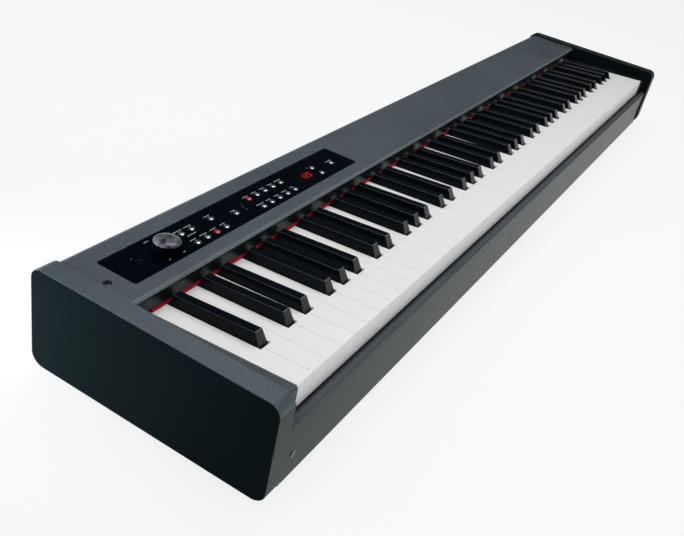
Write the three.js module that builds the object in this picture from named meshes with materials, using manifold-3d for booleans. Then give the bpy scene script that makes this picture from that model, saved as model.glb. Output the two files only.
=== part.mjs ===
// A slim stage piano with 88 weighted keys, modelled in millimetres.
// Every piece is drawn in the case frame: X runs from the bass end to the treble end,
// Y from the player's edge to the back and Z up from the underside of the end panels.
// The outer group then centres the case over its origin and stands the feet on the ground.

import * as THREE from 'three';
import { mergeVertices } from 'three/addons/utils/BufferGeometryUtils.js';
import Module from 'manifold-3d';

const wasm = await Module();
wasm.setup();

// Case
const caseWidth = 1327;
const caseDepth = 263;
const panelHeight = 105.5;
const panelThickness = 22;
const panelTopRadius = 12;
const panelBottomRadius = 14;
const bodySetback = 3;
const coverDrop = 3;
const baseRise = 2;
const floorClearance = 11.5;

// Clearances
const fitGap = 0.3;
const cutOverrun = 2;
const weldDepth = 1;

// Top cover, a folded shell that carries the controls
const coverThickness = 3;
const coverFrontRadius = 5;
const coverRearRadius = 9;
const lipBottomHeight = 85.3;
const coverRearDrop = 17;

// Front rail and base board
const railThickness = 4;
const railTopHeight = 64.3;
const ledgeRearDepth = 14.6;
const ledgeThickness = 4;
const boardThickness = 12;

// Rear panel
const rearPanelThickness = 3;

// Keyboard
const whiteCount = 52;
const keyboardInset = 47.3;
const keySideGap = 0.8;
const keyFrontDepth = 15.35;
const keyRearRoom = 30;
const whiteTopHeight = 90.2;
const whiteSkirtDrop = 28;
const whiteSkirtThickness = 3;
const whiteEdgeRound = 1;
const stickHeight = 16;
const keyTiltDegrees = 3.5;
const keyDip = 10;
const pivotInset = 5;

// Where the cover and the black keys stand along the length of the white keys
const coverFrontShare = 0.7014;
const blackFrontShare = 0.2336;
const blackRearShare = 0.6876;

// Black keys
const blackHeight = 12;
const blackBaseWidth = 13.4;
const blackTopWidth = 10;
const blackFrontLean = 8.5;
const blackRearLean = 1;
const blackEdgeRound = 1.2;
const blackCapRoot = 4;
const blackStickWidth = 11;
const blackClearance = 0.7;
const outerBlackShift = 3.3;
const innerBlackShift = 2.2;
const blackShifts = { A: outerBlackShift, C: -innerBlackShift, D: innerBlackShift, F: -outerBlackShift, G: 0 };
const letters = ['A', 'B', 'C', 'D', 'E', 'F', 'G'];

// Bars that join the keys of a bank
const combBarDepth = 4;
const combBarInset = 0.6;
const blackBarInset = 33;
const blackBarDepth = 8;
const blackBarThickness = 3;

// The octave whose keys and hammers are separate
const octaveFirstWhite = 23;
const octaveWhites = 7;
const octaveNumber = 4;

// Hammers
const hammerWidth = 9;
const hammerPivotShare = 0.444;
const tailWeightShare = 0.6738;
const tailInset = 15;
const fingerLag = 3.8;
const fingerDepth = 6;
const hammerPivotHeight = 38;
const hammerBossHalfWidth = 1;
const hammerBossDrop = 4;
const armDrop = 2;
const armRise = 4;
const tailWeightBottomHeight = 20;
const tailRearTopHeight = 36;
const tailNeckRun = 3;
const hammerBarHalfDepth = 2;

// Keybed frame
const frameFrontInset = 4.65;
const frameRearInset = 1;
const framePlateThickness = 2.7;
const stopRibInset = 8.65;
const stopRibDepth = 10;
const hammerRibHalfDepth = 1.5;
const pivotRibHalfDepth = 2;
const frameSideGap = 0.4;

// Cheek blocks between the end panels and the outer keys
const cheekFrontDepth = 13.4;
const cheekHeelDepth = 15;
const cheekRearInset = 11;
const cheekPillarDepth = 36;
const cheekPillarWidth = 17;
const cheekKeyGap = 0.7;
const cheekFrontRound = 3;

// Felt strip above the rear of the white keys
const feltReach = 0.5;
const feltDepth = 8.5;

// Control panel in the cover's window
const controlLeft = 46;
const controlWidth = 388;
const controlFrontInset = 18.5;
const controlDepth = 47;
const flangeWidth = 5;
const flangeThickness = 1.5;
const bossRadius = 3;
const bossInset = 12;
const controlMidInset = 18.7;

// Control board under the panel
const circuitThickness = 1.6;
const circuitInset = 4;
const circuitOverhang = 5.5;

// Buttons
const buttonRadius = 3.2;
const buttonClearance = 0.4;
const buttonRise = 1.3;
const buttonTravel = 0.8;
const buttonPitchShare = 0.03866;
const buttonRowOffset = 10.1;
const pairOffset = 7.3;
const stripThickness = 1.4;
const stripMargin = 1;
const domeShoulderShare = 0.75;
const domeShoulderDropShare = 0.4;
const leftRowCount = 4;
const bankCount = 5;
const leftRowShare = 0.24278;
const middleSingleShare = 0.43505;
const bankShare = 0.52629;
const endSingleShare = 0.9232;

// Power button and volume knob
const powerShare = 0.07088;
const powerOffset = 2.8;
const powerRadius = 4.3;
const knobShare = 0.15722;
const knobRadius = 13.5;
const knobHeight = 14;
const knobFootGap = 0.6;
const knobRimDrop = 4;
const knobCrownDrop = 1.2;
const knobCrownShare = 0.62;
const knobSkirtShare = 1.06;
const knobShaftRadius = 3;
const knobShaftClearance = 0.4;

// Display
const displayShare = 0.78222;
const displayClearance = 1.1;
const displayWidth = 34;
const displayDepth = 17;
const displayRecess = 0.2;

// Cover screws
const screwX = 30.5;
const screwInset = 36.5;
const screwHeadRadius = 3.8;
const screwHeadThickness = 2;
const screwShankRadius = 2;
const screwLength = 16;
const screwRecess = 0.5;
const screwClearance = 0.4;

// Rear jack board and its sockets
const jackBoardLeft = 420;
const jackBoardWidth = 250;
const jackBoardDepth = 18.7;
const jackBoardBottomHeight = 30;
const jackLegRadius = 2.5;
const jackLegInset = 5;
const jackAxisHeight = 44;
const jackBodyWidth = 17;
const jackBodyDepth = 17;
const jackBodyHalfHeight = 9;
const jackNoseRadius = 5.5;
const jackBoreRadius = 3.3;
const jackBoreDepth = 15;
const dinBodyWidth = 22;
const dinNoseRadius = 8.5;
const dinBoreRadius = 6.8;
const dinBoreDepth = 9;
const dcBodyWidth = 12;
const dcNoseRadius = 5;
const dcBoreRadius = 3.1;
const noseClearance = 0.4;
const firstJackX = 20;
const jackSpacing = 34;

// Rubber feet
const footInsetX = 95;
const footInsetDepth = 38;
const footBaseRadius = 16;
const footTopRadius = 18;

// Facets
const arcSteps = 4;
const buttonSides = 12;
const knobSides = 28;
const screwSides = 16;
const socketSides = 16;
const footSides = 24;
const bossSides = 10;

// Across the case
const innerLeft = panelThickness + fitGap;
const innerRight = caseWidth - innerLeft;
const keysLeft = keyboardInset;
const keysRight = caseWidth - keyboardInset;
const whitePitch = (keysRight - keysLeft) / whiteCount;

// Along the control panel, from its left edge
const buttonPitch = buttonPitchShare * controlWidth;
const leftRowStart = leftRowShare * controlWidth;
const secondSingleX = leftRowStart + (leftRowCount - 1) * buttonPitch;
const middleSingleX = middleSingleShare * controlWidth;
const bankStart = bankShare * controlWidth;
const endSingleX = endSingleShare * controlWidth;
const powerX = powerShare * controlWidth;
const knobX = knobShare * controlWidth;
const displayX = displayShare * controlWidth;
const pairX = displayX + displayWidth / 2 + displayClearance + buttonRadius + stripMargin;

// Along the depth of the case
const coverRearDepth = caseDepth - bodySetback;
const keyRearDepth = caseDepth - keyRearRoom;
const alongKeys = (share) => keyFrontDepth + share * (keyRearDepth - keyFrontDepth);
const pivotDepth = keyRearDepth - pivotInset;
const coverFrontDepth = alongKeys(coverFrontShare);
const blackFrontDepth = alongKeys(blackFrontShare);
const blackRearDepth = alongKeys(blackRearShare);
const blackBarFrontDepth = keyRearDepth - blackBarInset;
const hammerPivotDepth = alongKeys(hammerPivotShare);
const fingerFrontDepth = blackFrontDepth + fingerLag;
const fingerRearDepth = fingerFrontDepth + fingerDepth;
const tailWeightFrontDepth = alongKeys(tailWeightShare);
const tailRearDepth = keyRearDepth - tailInset;
const frameFrontDepth = keyFrontDepth + frameFrontInset;
const framePlateRearDepth = keyRearDepth - frameRearInset;
const stopRibFrontDepth = keyFrontDepth + stopRibInset;
const stopRibRearDepth = stopRibFrontDepth + stopRibDepth;
const cheekRearDepth = keyRearDepth - cheekRearInset;
const cheekPillarFrontDepth = cheekRearDepth - cheekPillarDepth;
const feltFrontDepth = coverFrontDepth - feltReach;
const feltRearDepth = feltFrontDepth + feltDepth;
const controlFrontDepth = coverFrontDepth + controlFrontInset;
const controlMidDepth = controlFrontDepth + controlMidInset;
const powerDepth = controlMidDepth + powerOffset;
const circuitFrontDepth = controlFrontDepth - circuitOverhang;
const circuitRearDepth = controlFrontDepth + controlDepth + circuitOverhang;
const screwDepth = coverFrontDepth + screwInset;
const jackBoardRearDepth = coverRearDepth - rearPanelThickness - fitGap;
const jackBoardFrontDepth = jackBoardRearDepth - jackBoardDepth;

// Up the height of the case
const coverTopHeight = panelHeight - coverDrop;
const coverBottomHeight = coverTopHeight - coverThickness;
const boardTopHeight = baseRise + boardThickness;
const stripBottomHeight = coverBottomHeight - flangeThickness - fitGap - stripThickness;
const circuitTopHeight = stripBottomHeight - buttonTravel - buttonClearance;
const tiltSlope = Math.tan(THREE.MathUtils.degToRad(keyTiltDegrees));
const whiteTop = (depth) => whiteTopHeight - (depth - keyFrontDepth) * tiltSlope;
const keyBottom = (depth) => whiteTop(depth) - stickHeight;

// How far a pressed key goes down at a depth, and how far a black key's front then swings forward
const dipSlope = keyDip / (pivotDepth - keyFrontDepth);
const keyDrop = (depth) => (pivotDepth - depth) * dipSlope;
const blackSwing = (whiteTop(blackFrontDepth) - keyBottom(pivotDepth)) * dipSlope;
const notchDepth = blackFrontDepth - blackSwing - fitGap;

// Solids

function solid(geometry) {
  const bare = geometry.clone();
  for (const extra of ['normal', 'uv']) bare.deleteAttribute(extra);
  const welded = mergeVertices(bare);
  return new wasm.Manifold(new wasm.Mesh({
    numProp: 3,
    vertProperties: new Float32Array(welded.attributes.position.array),
    triVerts: new Uint32Array(welded.index.array),
  }));
}

function geometryOf(body) {
  const mesh = body.getMesh();
  const geometry = new THREE.BufferGeometry();
  geometry.setAttribute('position', new THREE.BufferAttribute(new Float32Array(mesh.vertProperties), 3));
  geometry.setIndex(new THREE.BufferAttribute(new Uint32Array(mesh.triVerts), 1));
  return geometry;
}

const joined = (first, ...others) => others.reduce((body, other) => body.add(other), first);
const carved = (first, ...cutters) => cutters.reduce((body, cutter) => body.subtract(cutter), first);

function block(left, right, front, rear, bottom, top) {
  const geometry = new THREE.BoxGeometry(right - left, rear - front, top - bottom);
  geometry.translate((left + right) / 2, (front + rear) / 2, (bottom + top) / 2);
  return solid(geometry);
}

// An outline in depth and height, drawn out along X from left to right.
function slabAlongX(outline, left, right) {
  const shape = new THREE.Shape(outline.map(([depth, height]) => new THREE.Vector2(depth, height)));
  const geometry = new THREE.ExtrudeGeometry(shape, { depth: right - left, bevelEnabled: false });
  const axes = new THREE.Matrix4().makeBasis(
    new THREE.Vector3(0, 1, 0), new THREE.Vector3(0, 0, 1), new THREE.Vector3(1, 0, 0));
  geometry.applyMatrix4(axes.setPosition(left, 0, 0));
  return solid(geometry);
}

// An outline in X and depth, drawn out upwards.
function slabAlongZ(outline, bottom, top) {
  const shape = new THREE.Shape(outline.map(([x, depth]) => new THREE.Vector2(x, depth)));
  const geometry = new THREE.ExtrudeGeometry(shape, { depth: top - bottom, bevelEnabled: false });
  geometry.translate(0, 0, bottom);
  return solid(geometry);
}

// A profile of radius and height, spun about an upright axis.
function spun(profile, x, depth, sides) {
  const points = profile.map(([radius, height]) => new THREE.Vector2(radius, height));
  const geometry = new THREE.LatheGeometry(points, sides);
  geometry.rotateX(Math.PI / 2);
  geometry.translate(x, depth, 0);
  return solid(geometry);
}

const post = (x, depth, radius, bottom, top, sides) =>
  spun([[0, bottom], [radius, bottom], [radius, top], [0, top]], x, depth, sides);

// A round bar that lies along the depth.
function barAlongY(x, height, radius, front, rear, sides) {
  const geometry = new THREE.CylinderGeometry(radius, radius, rear - front, sides);
  geometry.translate(x, (front + rear) / 2, height);
  return solid(geometry);
}

// Corners given as depth, height and radius become an outline with round corners.
function roundedOutline(corners) {
  const points = [];
  corners.forEach(([depth, height, radius], i) => {
    if (!radius) {
      points.push([depth, height]);
      return;
    }
    const [previousDepth, previousHeight] = corners[(i + corners.length - 1) % corners.length];
    const [nextDepth, nextHeight] = corners[(i + 1) % corners.length];
    const corner = new THREE.Vector2(depth, height);
    const into = new THREE.Vector2(previousDepth, previousHeight).sub(corner).normalize();
    const out = new THREE.Vector2(nextDepth, nextHeight).sub(corner).normalize();
    const half = Math.acos(into.dot(out)) / 2;
    const centre = into.clone().add(out).normalize().multiplyScalar(radius / Math.sin(half)).add(corner);
    const start = into.multiplyScalar(radius / Math.tan(half)).add(corner).sub(centre);
    const end = out.multiplyScalar(radius / Math.tan(half)).add(corner).sub(centre);
    const turn = Math.atan2(start.cross(end), start.dot(end));
    for (let step = 0; step <= arcSteps; step += 1) {
      const spoke = start.clone().rotateAround(new THREE.Vector2(), turn * step / arcSteps);
      points.push([centre.x + spoke.x, centre.y + spoke.y]);
    }
  });
  return points;
}

// Rings of four corners each, from the bottom up, closed into one skin.
function ringSolid(rings) {
  const positions = rings.flat(2);
  const faces = [[0, 2, 1], [0, 3, 2]].flat();
  const sides = rings[0].length;
  for (let ring = 0; ring < rings.length - 1; ring += 1) {
    for (let side = 0; side < sides; side += 1) {
      const low = ring * sides + side;
      const lowNext = ring * sides + (side + 1) % sides;
      faces.push(low, lowNext, lowNext + sides, low, lowNext + sides, low + sides);
    }
  }
  const last = (rings.length - 1) * sides;
  faces.push(...[0, 1, 2, 0, 2, 3].map((corner) => last + corner));
  const geometry = new THREE.BufferGeometry();
  geometry.setAttribute('position', new THREE.Float32BufferAttribute(positions, 3));
  geometry.setIndex(faces);
  return solid(geometry);
}

// Materials

const finish = (color, roughness, metalness = 0) => new THREE.MeshStandardMaterial({ color, roughness, metalness });
const panelPaint = () => finish(0x1b2022, 0.6);
const coverPaint = () => finish(0x4b5358, 0.75);
const railPaint = () => finish(0x4a524f, 0.7);
const glossBlack = () => finish(0x0a0b0d, 0.15);
const ivory = () => finish(0xebebe8, 0.35);
const ebony = () => finish(0x141416, 0.3);
const crimson = () => finish(0xa01228, 0.9);
const rubber = () => finish(0x18181a, 0.9);
const chipboard = () => finish(0x3a332c, 0.9);
const darkSteel = () => finish(0x2d3032, 0.5, 0.6);
const hammerGrey = () => finish(0x55585c, 0.6);
const circuitGreen = () => finish(0x1e5a38, 0.5);
const displayRed = () => finish(0x5a0a0a, 0.2);

// Case pieces

function endPanel(left) {
  const outline = roundedOutline([
    [0, 0, panelBottomRadius],
    [caseDepth, 0, panelBottomRadius],
    [caseDepth, panelHeight, panelTopRadius],
    [0, panelHeight, panelTopRadius],
  ]);
  return slabAlongX(outline, left, left + panelThickness);
}

function topCover() {
  const inner = (radius) => radius - coverThickness;
  const rearBottom = coverTopHeight - coverRearDrop;
  const outline = roundedOutline([
    [coverFrontDepth, lipBottomHeight, 0],
    [coverFrontDepth + coverThickness, lipBottomHeight, 0],
    [coverFrontDepth + coverThickness, coverBottomHeight, inner(coverFrontRadius)],
    [coverRearDepth - coverThickness, coverBottomHeight, inner(coverRearRadius)],
    [coverRearDepth - coverThickness, rearBottom, 0],
    [coverRearDepth, rearBottom, 0],
    [coverRearDepth, coverTopHeight, coverRearRadius],
    [coverFrontDepth, coverTopHeight, coverFrontRadius],
  ]);
  const shell = slabAlongX(outline, innerLeft, innerRight);
  const window = block(controlLeft, controlLeft + controlWidth, controlFrontDepth,
    controlFrontDepth + controlDepth, coverBottomHeight - cutOverrun, coverTopHeight + cutOverrun);
  return carved(shell, window, screwSeat(screwX), screwSeat(caseWidth - screwX));
}

// The countersunk hole of a cover screw.
function screwSeat(x) {
  const headRadius = screwHeadRadius + screwClearance;
  const shankRadius = screwShankRadius + screwClearance;
  const headTop = coverTopHeight + cutOverrun;
  const coneTop = coverTopHeight - screwRecess;
  const coneBottom = coneTop - screwHeadThickness;
  const bottom = coverBottomHeight - cutOverrun;
  return spun([[0, bottom], [shankRadius, bottom], [shankRadius, coneBottom],
    [headRadius, coneTop], [headRadius, headTop], [0, headTop]], x, screwDepth, screwSides);
}

function coverScrew(x) {
  const top = coverTopHeight - screwRecess;
  return spun([[0, top - screwLength], [screwShankRadius, top - screwLength],
    [screwShankRadius, top - screwHeadThickness], [screwHeadRadius, top], [0, top]], x, screwDepth, screwSides);
}

function frontRail() {
  const front = bodySetback;
  return slabAlongX([
    [front, baseRise],
    [front + railThickness, baseRise],
    [front + railThickness, railTopHeight - ledgeThickness],
    [ledgeRearDepth, railTopHeight - ledgeThickness],
    [ledgeRearDepth, railTopHeight],
    [front, railTopHeight],
  ], innerLeft, innerRight);
}

function baseBoard() {
  const front = bodySetback + railThickness + fitGap;
  const rear = coverRearDepth - rearPanelThickness - fitGap;
  return block(innerLeft, innerRight, front, rear, baseRise, boardTopHeight);
}

// The cheek follows the keys' tops and carries a pillar at the back that holds the cover.
function cheekBlock(left, right, pillarLeft, screwAt) {
  const bottom = boardTopHeight + fitGap;
  const outline = roundedOutline([
    [cheekHeelDepth, bottom, 0],
    [cheekRearDepth, bottom, 0],
    [cheekRearDepth, whiteTop(cheekRearDepth), 0],
    [cheekFrontDepth, whiteTop(cheekFrontDepth), cheekFrontRound],
    [cheekFrontDepth, railTopHeight + fitGap, 0],
    [cheekHeelDepth, railTopHeight + fitGap, 0],
  ]);
  const pillar = block(pillarLeft, pillarLeft + cheekPillarWidth, cheekPillarFrontDepth, cheekRearDepth,
    whiteTop(cheekRearDepth) - weldDepth, coverBottomHeight - fitGap);
  const bore = post(screwAt, screwDepth, screwShankRadius + fitGap,
    coverTopHeight - screwRecess - screwLength - fitGap, coverTopHeight, screwSides);
  return carved(slabAlongX(outline, left, right).add(pillar), bore);
}

function rearPanel() {
  const top = coverTopHeight - coverRearDrop - fitGap;
  const plate = block(innerLeft, innerRight, coverRearDepth - rearPanelThickness, coverRearDepth, baseRise, top);
  const holes = sockets.map(({ x, nose }) => barAlongY(x, jackAxisHeight, nose + noseClearance,
    coverRearDepth - rearPanelThickness - cutOverrun, coverRearDepth + cutOverrun, socketSides));
  return carved(plate, ...holes);
}

function foot(x, depth) {
  return spun([[0, -floorClearance], [footBaseRadius, -floorClearance],
    [footTopRadius, baseRise - fitGap], [0, baseRise - fitGap]], x, depth, footSides);
}

// Keyboard

const keybedFrame = () => {
  const bottom = boardTopHeight + fitGap;
  const plateTop = bottom + framePlateThickness;
  const stopTop = keyBottom(stopRibFrontDepth) - keyDrop(stopRibFrontDepth) - fitGap;
  const pivotTop = keyBottom(pivotDepth + pivotRibHalfDepth) - fitGap;
  const hammerRibTop = hammerPivotHeight - hammerBossDrop - fitGap;
  return slabAlongX([
    [frameFrontDepth, bottom],
    [framePlateRearDepth, bottom],
    [framePlateRearDepth, plateTop],
    [pivotDepth + pivotRibHalfDepth, plateTop],
    [pivotDepth + pivotRibHalfDepth, pivotTop],
    [pivotDepth - pivotRibHalfDepth, pivotTop],
    [pivotDepth - pivotRibHalfDepth, plateTop],
    [hammerPivotDepth + hammerRibHalfDepth, plateTop],
    [hammerPivotDepth + hammerRibHalfDepth, hammerRibTop],
    [hammerPivotDepth - hammerRibHalfDepth, hammerRibTop],
    [hammerPivotDepth - hammerRibHalfDepth, plateTop],
    [stopRibRearDepth, plateTop],
    [stopRibRearDepth, stopTop],
    [stopRibFrontDepth, stopTop],
    [stopRibFrontDepth, plateTop],
    [frameFrontDepth, plateTop],
  ], keysLeft + frameSideGap, keysRight - frameSideGap);
};

const keyFelt = () => slabAlongX([
  [feltFrontDepth, whiteTop(feltFrontDepth) + fitGap],
  [feltRearDepth, whiteTop(feltRearDepth) + fitGap],
  [feltRearDepth, lipBottomHeight - fitGap],
  [feltFrontDepth, lipBottomHeight - fitGap],
], keysLeft, keysRight);

const letterOf = (white) => letters[white % letters.length];
const hasBlackAfter = (white) => white >= 0 && white < whiteCount - 1 && letterOf(white) in blackShifts;
const blackCentre = (white) => keysLeft + (white + 1) * whitePitch + blackShifts[letterOf(white)];

// The X limits of a white key between its black neighbours.
function tailLimits(white) {
  const reach = blackBaseWidth / 2 + blackClearance;
  const left = keysLeft + white * whitePitch + keySideGap / 2;
  const right = left + whitePitch - keySideGap;
  return [
    hasBlackAfter(white - 1) ? blackCentre(white - 1) + reach : left,
    hasBlackAfter(white) ? blackCentre(white) - reach : right,
  ];
}

function whiteKey(white) {
  const left = keysLeft + white * whitePitch + keySideGap / 2;
  const right = left + whitePitch - keySideGap;
  const [tailLeft, tailRight] = tailLimits(white);
  const plan = [[left, keyFrontDepth], [right, keyFrontDepth]];
  if (tailRight < right) plan.push([right, notchDepth], [tailRight, notchDepth]);
  plan.push([tailRight, keyRearDepth], [tailLeft, keyRearDepth]);
  if (tailLeft > left) plan.push([tailLeft, notchDepth], [left, notchDepth]);
  const skirtBottom = whiteTopHeight - whiteSkirtDrop;
  const skirtRear = keyFrontDepth + whiteSkirtThickness;
  const side = [
    [keyFrontDepth, skirtBottom],
    [skirtRear, skirtBottom],
    [skirtRear, keyBottom(skirtRear)],
    [keyRearDepth, keyBottom(keyRearDepth)],
    [keyRearDepth, whiteTop(keyRearDepth)],
    [keyFrontDepth + whiteEdgeRound, whiteTop(keyFrontDepth + whiteEdgeRound)],
    [keyFrontDepth, whiteTopHeight - whiteEdgeRound],
  ];
  const tall = slabAlongZ(plan, skirtBottom - cutOverrun, whiteTopHeight + cutOverrun);
  return tall.intersect(slabAlongX(side, left - cutOverrun, right + cutOverrun));
}

function blackKey(white) {
  const centre = blackCentre(white);
  const ring = (width, front, rear, rise) => [
    [centre - width / 2, front, whiteTop(front) + rise],
    [centre + width / 2, front, whiteTop(front) + rise],
    [centre + width / 2, rear, whiteTop(rear) + rise],
    [centre - width / 2, rear, whiteTop(rear) + rise],
  ];
  const topFront = blackFrontDepth + blackFrontLean;
  const topRear = blackRearDepth - blackRearLean;
  const crownWidth = blackTopWidth - blackEdgeRound;
  const cap = ringSolid([
    ring(blackBaseWidth, blackFrontDepth, blackRearDepth, -blackCapRoot),
    ring(blackBaseWidth, blackFrontDepth, blackRearDepth, 0),
    ring(blackTopWidth, topFront, topRear, blackHeight - blackEdgeRound),
    ring(crownWidth, topFront + blackEdgeRound, topRear, blackHeight),
  ]);
  const stickFront = blackFrontDepth + blackEdgeRound;
  const stick = slabAlongX([
    [stickFront, keyBottom(stickFront)],
    [keyRearDepth, keyBottom(keyRearDepth)],
    [keyRearDepth, whiteTop(keyRearDepth) - blackCapRoot + weldDepth],
    [stickFront, whiteTop(stickFront) - blackCapRoot + weldDepth],
  ], centre - blackStickWidth / 2, centre + blackStickWidth / 2);
  return cap.add(stick);
}

const tailCentre = (white) => {
  const [left, right] = tailLimits(white);
  return (left + right) / 2;
};

// A run of white keys joined behind the pivot.
function whiteBank(first, last) {
  const barFront = keyRearDepth - combBarDepth;
  const barRear = keyRearDepth - combBarInset;
  const bar = slabAlongX([
    [barFront, keyBottom(barFront) + combBarInset],
    [barRear, keyBottom(barRear) + combBarInset],
    [barRear, whiteTop(barRear) - combBarInset],
    [barFront, whiteTop(barFront) - combBarInset],
  ], tailCentre(first), tailCentre(last));
  const keys = [];
  for (let white = first; white <= last; white += 1) keys.push(whiteKey(white));
  return joined(bar, ...keys);
}

// The black keys of the same run, shortened behind and joined by a bar over the white sticks.
function blackBank(first, last) {
  const shortRear = keyRearDepth - combBarDepth - blackClearance;
  const barRear = blackBarFrontDepth + blackBarDepth;
  const keys = [];
  const centres = [];
  for (let white = first; white <= last; white += 1) {
    if (hasBlackAfter(white)) {
      const centre = blackCentre(white);
      const left = centre - blackStickWidth / 2;
      const right = centre + blackStickWidth / 2;
      const cut = block(left - cutOverrun, right + cutOverrun, shortRear, keyRearDepth + cutOverrun,
        0, panelHeight);
      const riser = block(left, right, blackBarFrontDepth + combBarInset, barRear - combBarInset,
        whiteTop(blackBarFrontDepth) - blackCapRoot - weldDepth, whiteTop(barRear) + fitGap + weldDepth);
      keys.push(blackKey(white).subtract(cut).add(riser));
      centres.push(centre);
    }
  }
  const bar = slabAlongX([
    [blackBarFrontDepth, whiteTop(blackBarFrontDepth) + fitGap],
    [barRear, whiteTop(barRear) + fitGap],
    [barRear, whiteTop(barRear) + fitGap + blackBarThickness],
    [blackBarFrontDepth, whiteTop(blackBarFrontDepth) + fitGap + blackBarThickness],
  ], centres[0], centres[centres.length - 1]);
  return joined(bar, ...keys);
}

// A weighted hammer: a finger under the key, a boss on its rib and a heavy tail.
function hammer(centre) {
  const armBottom = hammerPivotHeight - armDrop;
  const armTop = hammerPivotHeight + armRise;
  const outline = [
    [fingerFrontDepth, keyBottom(fingerFrontDepth) - fitGap],
    [fingerFrontDepth, armBottom],
    [hammerPivotDepth - hammerBossHalfWidth, hammerPivotHeight - hammerBossDrop],
    [hammerPivotDepth + hammerBossHalfWidth, hammerPivotHeight - hammerBossDrop],
    [tailWeightFrontDepth - tailNeckRun, armBottom - armDrop],
    [tailWeightFrontDepth, tailWeightBottomHeight],
    [tailRearDepth, tailWeightBottomHeight],
    [tailRearDepth, tailRearTopHeight],
    [fingerRearDepth, armTop],
    [fingerRearDepth, keyBottom(fingerRearDepth) - fitGap],
  ];
  return slabAlongX(outline, centre - hammerWidth / 2, centre + hammerWidth / 2);
}

function hammerBank(first, last) {
  const centres = [];
  for (let white = first; white <= last; white += 1) {
    centres.push(tailCentre(white));
    if (hasBlackAfter(white)) centres.push(blackCentre(white));
  }
  const bar = block(centres[0], centres[centres.length - 1], hammerPivotDepth - hammerBarHalfDepth,
    hammerPivotDepth + hammerBarHalfDepth, hammerPivotHeight - armDrop, hammerPivotHeight + armDrop);
  return joined(bar, ...centres.map(hammer));
}

// Controls

// Each group of buttons is one moulded strip; places are X from the panel's left and depth.
const rearRow = controlMidDepth + buttonRowOffset;
const frontRow = controlMidDepth - buttonRowOffset;
const row = (start, count, depth) => Array.from({ length: count }, (_, i) => [start + i * buttonPitch, depth]);
const buttonGroups = {
  rear_pair_buttons: row(leftRowStart, 2, rearRow),
  rear_single_button: row(secondSingleX, 1, rearRow),
  front_row_buttons: row(leftRowStart, leftRowCount, frontRow),
  middle_single_button: row(middleSingleX, 1, controlMidDepth),
  rear_bank_buttons: row(bankStart, bankCount, rearRow),
  front_bank_buttons: row(bankStart, bankCount, frontRow),
  step_pair_buttons: [[pairX, controlMidDepth + pairOffset], [pairX, controlMidDepth - pairOffset]],
  end_single_button: row(endSingleX, 1, controlMidDepth),
};

function button(x, depth, radius) {
  const top = coverTopHeight + buttonRise;
  const shoulder = top - buttonRise * domeShoulderDropShare;
  return spun([[0, stripBottomHeight], [radius, stripBottomHeight], [radius, coverTopHeight],
    [radius * domeShoulderShare, shoulder], [0, top]], x, depth, buttonSides);
}

function buttonStrip(places, radius) {
  const reach = radius + stripMargin;
  const xs = places.map(([x]) => controlLeft + x);
  const depths = places.map(([, depth]) => depth);
  const strip = block(Math.min(...xs) - reach, Math.max(...xs) + reach,
    Math.min(...depths) - reach, Math.max(...depths) + reach,
    stripBottomHeight, stripBottomHeight + stripThickness);
  return joined(strip, ...places.map(([x, depth]) => button(controlLeft + x, depth, radius)));
}

function volumeKnob() {
  const foot = coverTopHeight + knobFootGap;
  const top = coverTopHeight + knobHeight;
  const head = spun([[0, foot], [knobRadius * knobSkirtShare, foot], [knobRadius, top - knobRimDrop],
    [knobRadius * knobCrownShare, top - knobCrownDrop], [0, top]], controlLeft + knobX, controlMidDepth, knobSides);
  const shaft = post(controlLeft + knobX, controlMidDepth, knobShaftRadius,
    circuitTopHeight + fitGap, foot + weldDepth, bossSides);
  return head.add(shaft);
}

function displayModule() {
  const left = controlLeft + displayX - displayWidth / 2;
  const front = controlMidDepth - displayDepth / 2;
  return block(left + fitGap, left + displayWidth - fitGap, front + fitGap, front + displayDepth - fitGap,
    circuitTopHeight + fitGap, coverTopHeight - displayRecess);
}

function controlPanel() {
  const right = controlLeft + controlWidth;
  const rear = controlFrontDepth + controlDepth;
  const flangeTop = coverBottomHeight - fitGap;
  const flangeBottom = coverBottomHeight - flangeThickness;
  const plate = block(controlLeft + fitGap, right - fitGap, controlFrontDepth + fitGap, rear - fitGap,
    flangeBottom, coverTopHeight);
  const flange = block(controlLeft - flangeWidth, right + flangeWidth, controlFrontDepth - flangeWidth,
    rear + flangeWidth, flangeBottom, flangeTop);
  const bosses = [];
  for (const x of [controlLeft + bossInset, right - bossInset]) {
    for (const depth of [controlFrontDepth + flangeWidth, rear - flangeWidth]) {
      bosses.push(post(x, depth, bossRadius, circuitTopHeight + fitGap, flangeBottom + weldDepth, bossSides));
    }
  }
  const low = flangeBottom - cutOverrun;
  const high = coverTopHeight + cutOverrun;
  const holes = Object.values(buttonGroups).flat().map(([x, depth]) =>
    post(controlLeft + x, depth, buttonRadius + buttonClearance, low, high, buttonSides));
  holes.push(post(controlLeft + powerX, powerDepth, powerRadius + buttonClearance, low, high, socketSides));
  holes.push(post(controlLeft + knobX, controlMidDepth, knobShaftRadius + knobShaftClearance, low, high, socketSides));
  const left = controlLeft + displayX - displayWidth / 2;
  const front = controlMidDepth - displayDepth / 2;
  holes.push(block(left, left + displayWidth, front, front + displayDepth, low, high));
  return carved(joined(plate, flange, ...bosses), ...holes);
}

const controlCircuit = () => block(controlLeft + circuitInset, controlLeft + controlWidth - circuitInset,
  circuitFrontDepth, circuitRearDepth, circuitTopHeight - circuitThickness, circuitTopHeight);

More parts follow.
